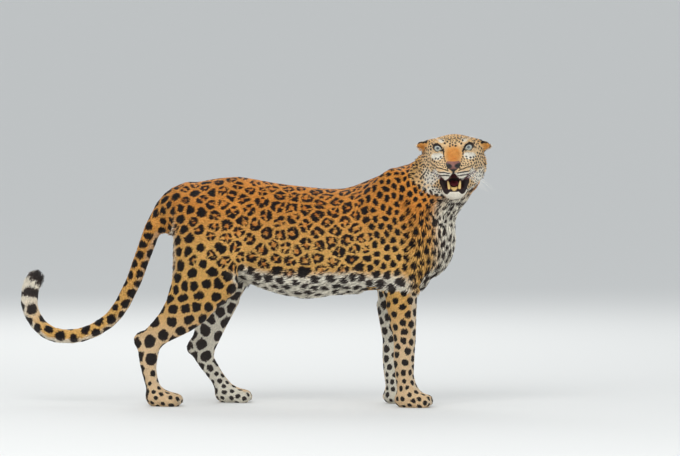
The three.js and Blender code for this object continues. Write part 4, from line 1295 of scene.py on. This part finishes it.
# The whiskers: stiff white bristles in rows on the lips, and a few over each eye, that bend back and down.
WHISKER_ROWS = (  # place of the first on the head, step to the next, how many, length
    ((60, 36, -45), (-7, 3.5, 0), 3, 52),
    ((62, 35, -52), (-7, 3.5, 0.5), 4, 62),
    ((62, 34, -59), (-7, 3.5, 0.5), 4, 66),
    ((58, 34, -65), (-7, 3.0, 0.5), 3, 56),
    ((-6, 36, 20), (-3, 4, 0), 2, 20),
)
SIDES_ROUND, STEPS_ALONG = 5, 9
ROOT_RADIUS, TIP_RADIUS = 0.34, 0.04  # the root's is over the tip's
ROOT_DEPTH = 1.5
ON_LIP = (0.10, 0.80, -0.45), (-0.35, 0.05, -0.45)  # the course at the root, and the bend from it
OVER_EYE = (0.35, 0.75, 1.0), (-0.5, 0.4, -0.5)
whisker_points, whisker_faces = [], []


def add_whisker(foot, side, reach, start, bend):
    start = np.array(start) + rng.normal(0, 0.06, 3)
    bend = np.array(bend) + rng.normal(0, 0.08, 3)
    total = reach * rng.uniform(0.8, 1.1)
    t = np.linspace(0, 1, STEPS_ALONG)[:, None]
    line = foot + (t * start + t**2 * bend) * (1, side, 1) * total
    line = line - ROOT_DEPTH * (1 - t) * start * (1, side, 1)
    course = unit(np.gradient(line, axis=0))
    first = unit(np.cross(course, (0, 0, 1.0)))
    second = np.cross(course, first)
    thick = ROOT_RADIUS * (1 - t**1.5) + TIP_RADIUS
    turns = 2 * np.pi * np.arange(SIDES_ROUND) / SIDES_ROUND
    ring = first[:, None] * np.cos(turns)[None, :, None] + second[:, None] * np.sin(turns)[None, :, None]
    tube = line[:, None] + ring * thick[:, None]
    base = len(whisker_points) * SIDES_ROUND * STEPS_ALONG
    whisker_points.append(off_head(tube.reshape(-1, 3)))
    rings = base + np.arange(STEPS_ALONG * SIDES_ROUND).reshape(STEPS_ALONG, SIDES_ROUND)
    for near_ring, far_ring in zip(rings[:-1], rings[1:]):
        for a, b, c, d in zip(near_ring, np.roll(near_ring, -1), np.roll(far_ring, -1), far_ring):
            whisker_faces.append((int(a), int(b), int(c), int(d)))
    whisker_faces.append(rings[0, ::-1].tolist())
    whisker_faces.append(rings[-1].tolist())


for place, step, count, reach in WHISKER_ROWS:
    for number in range(count):
        for side in (1, -1):
            wanted = np.array(place) + np.array(step) * number
            foot = head[skin_tree.find(Vector(off_head((wanted * (1, side, 1))[None])[0]))[1]]
            add_whisker(foot, side, reach, *(OVER_EYE if place[2] > 0 else ON_LIP))
whisker_mesh = bpy.data.meshes.new("whiskers")
whisker_mesh.from_pydata(np.concatenate(whisker_points).tolist(), [], whisker_faces)
whiskers = bpy.data.objects.new("whiskers", whisker_mesh)
bpy.context.collection.objects.link(whiskers)
only(whiskers)
edit_all(bpy.ops.mesh.normals_make_consistent, inside=False)
bpy.ops.object.shade_smooth()
bristle = Paint("whisker_bristle")
bristle.dress(colour(246, 242, 232), {"Roughness": 0.4})
whiskers.data.materials.append(bristle.material)
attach(whiskers, "root")

size = {"cad": [list(v) for v in cad_box], "visual": [list(v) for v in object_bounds()]}
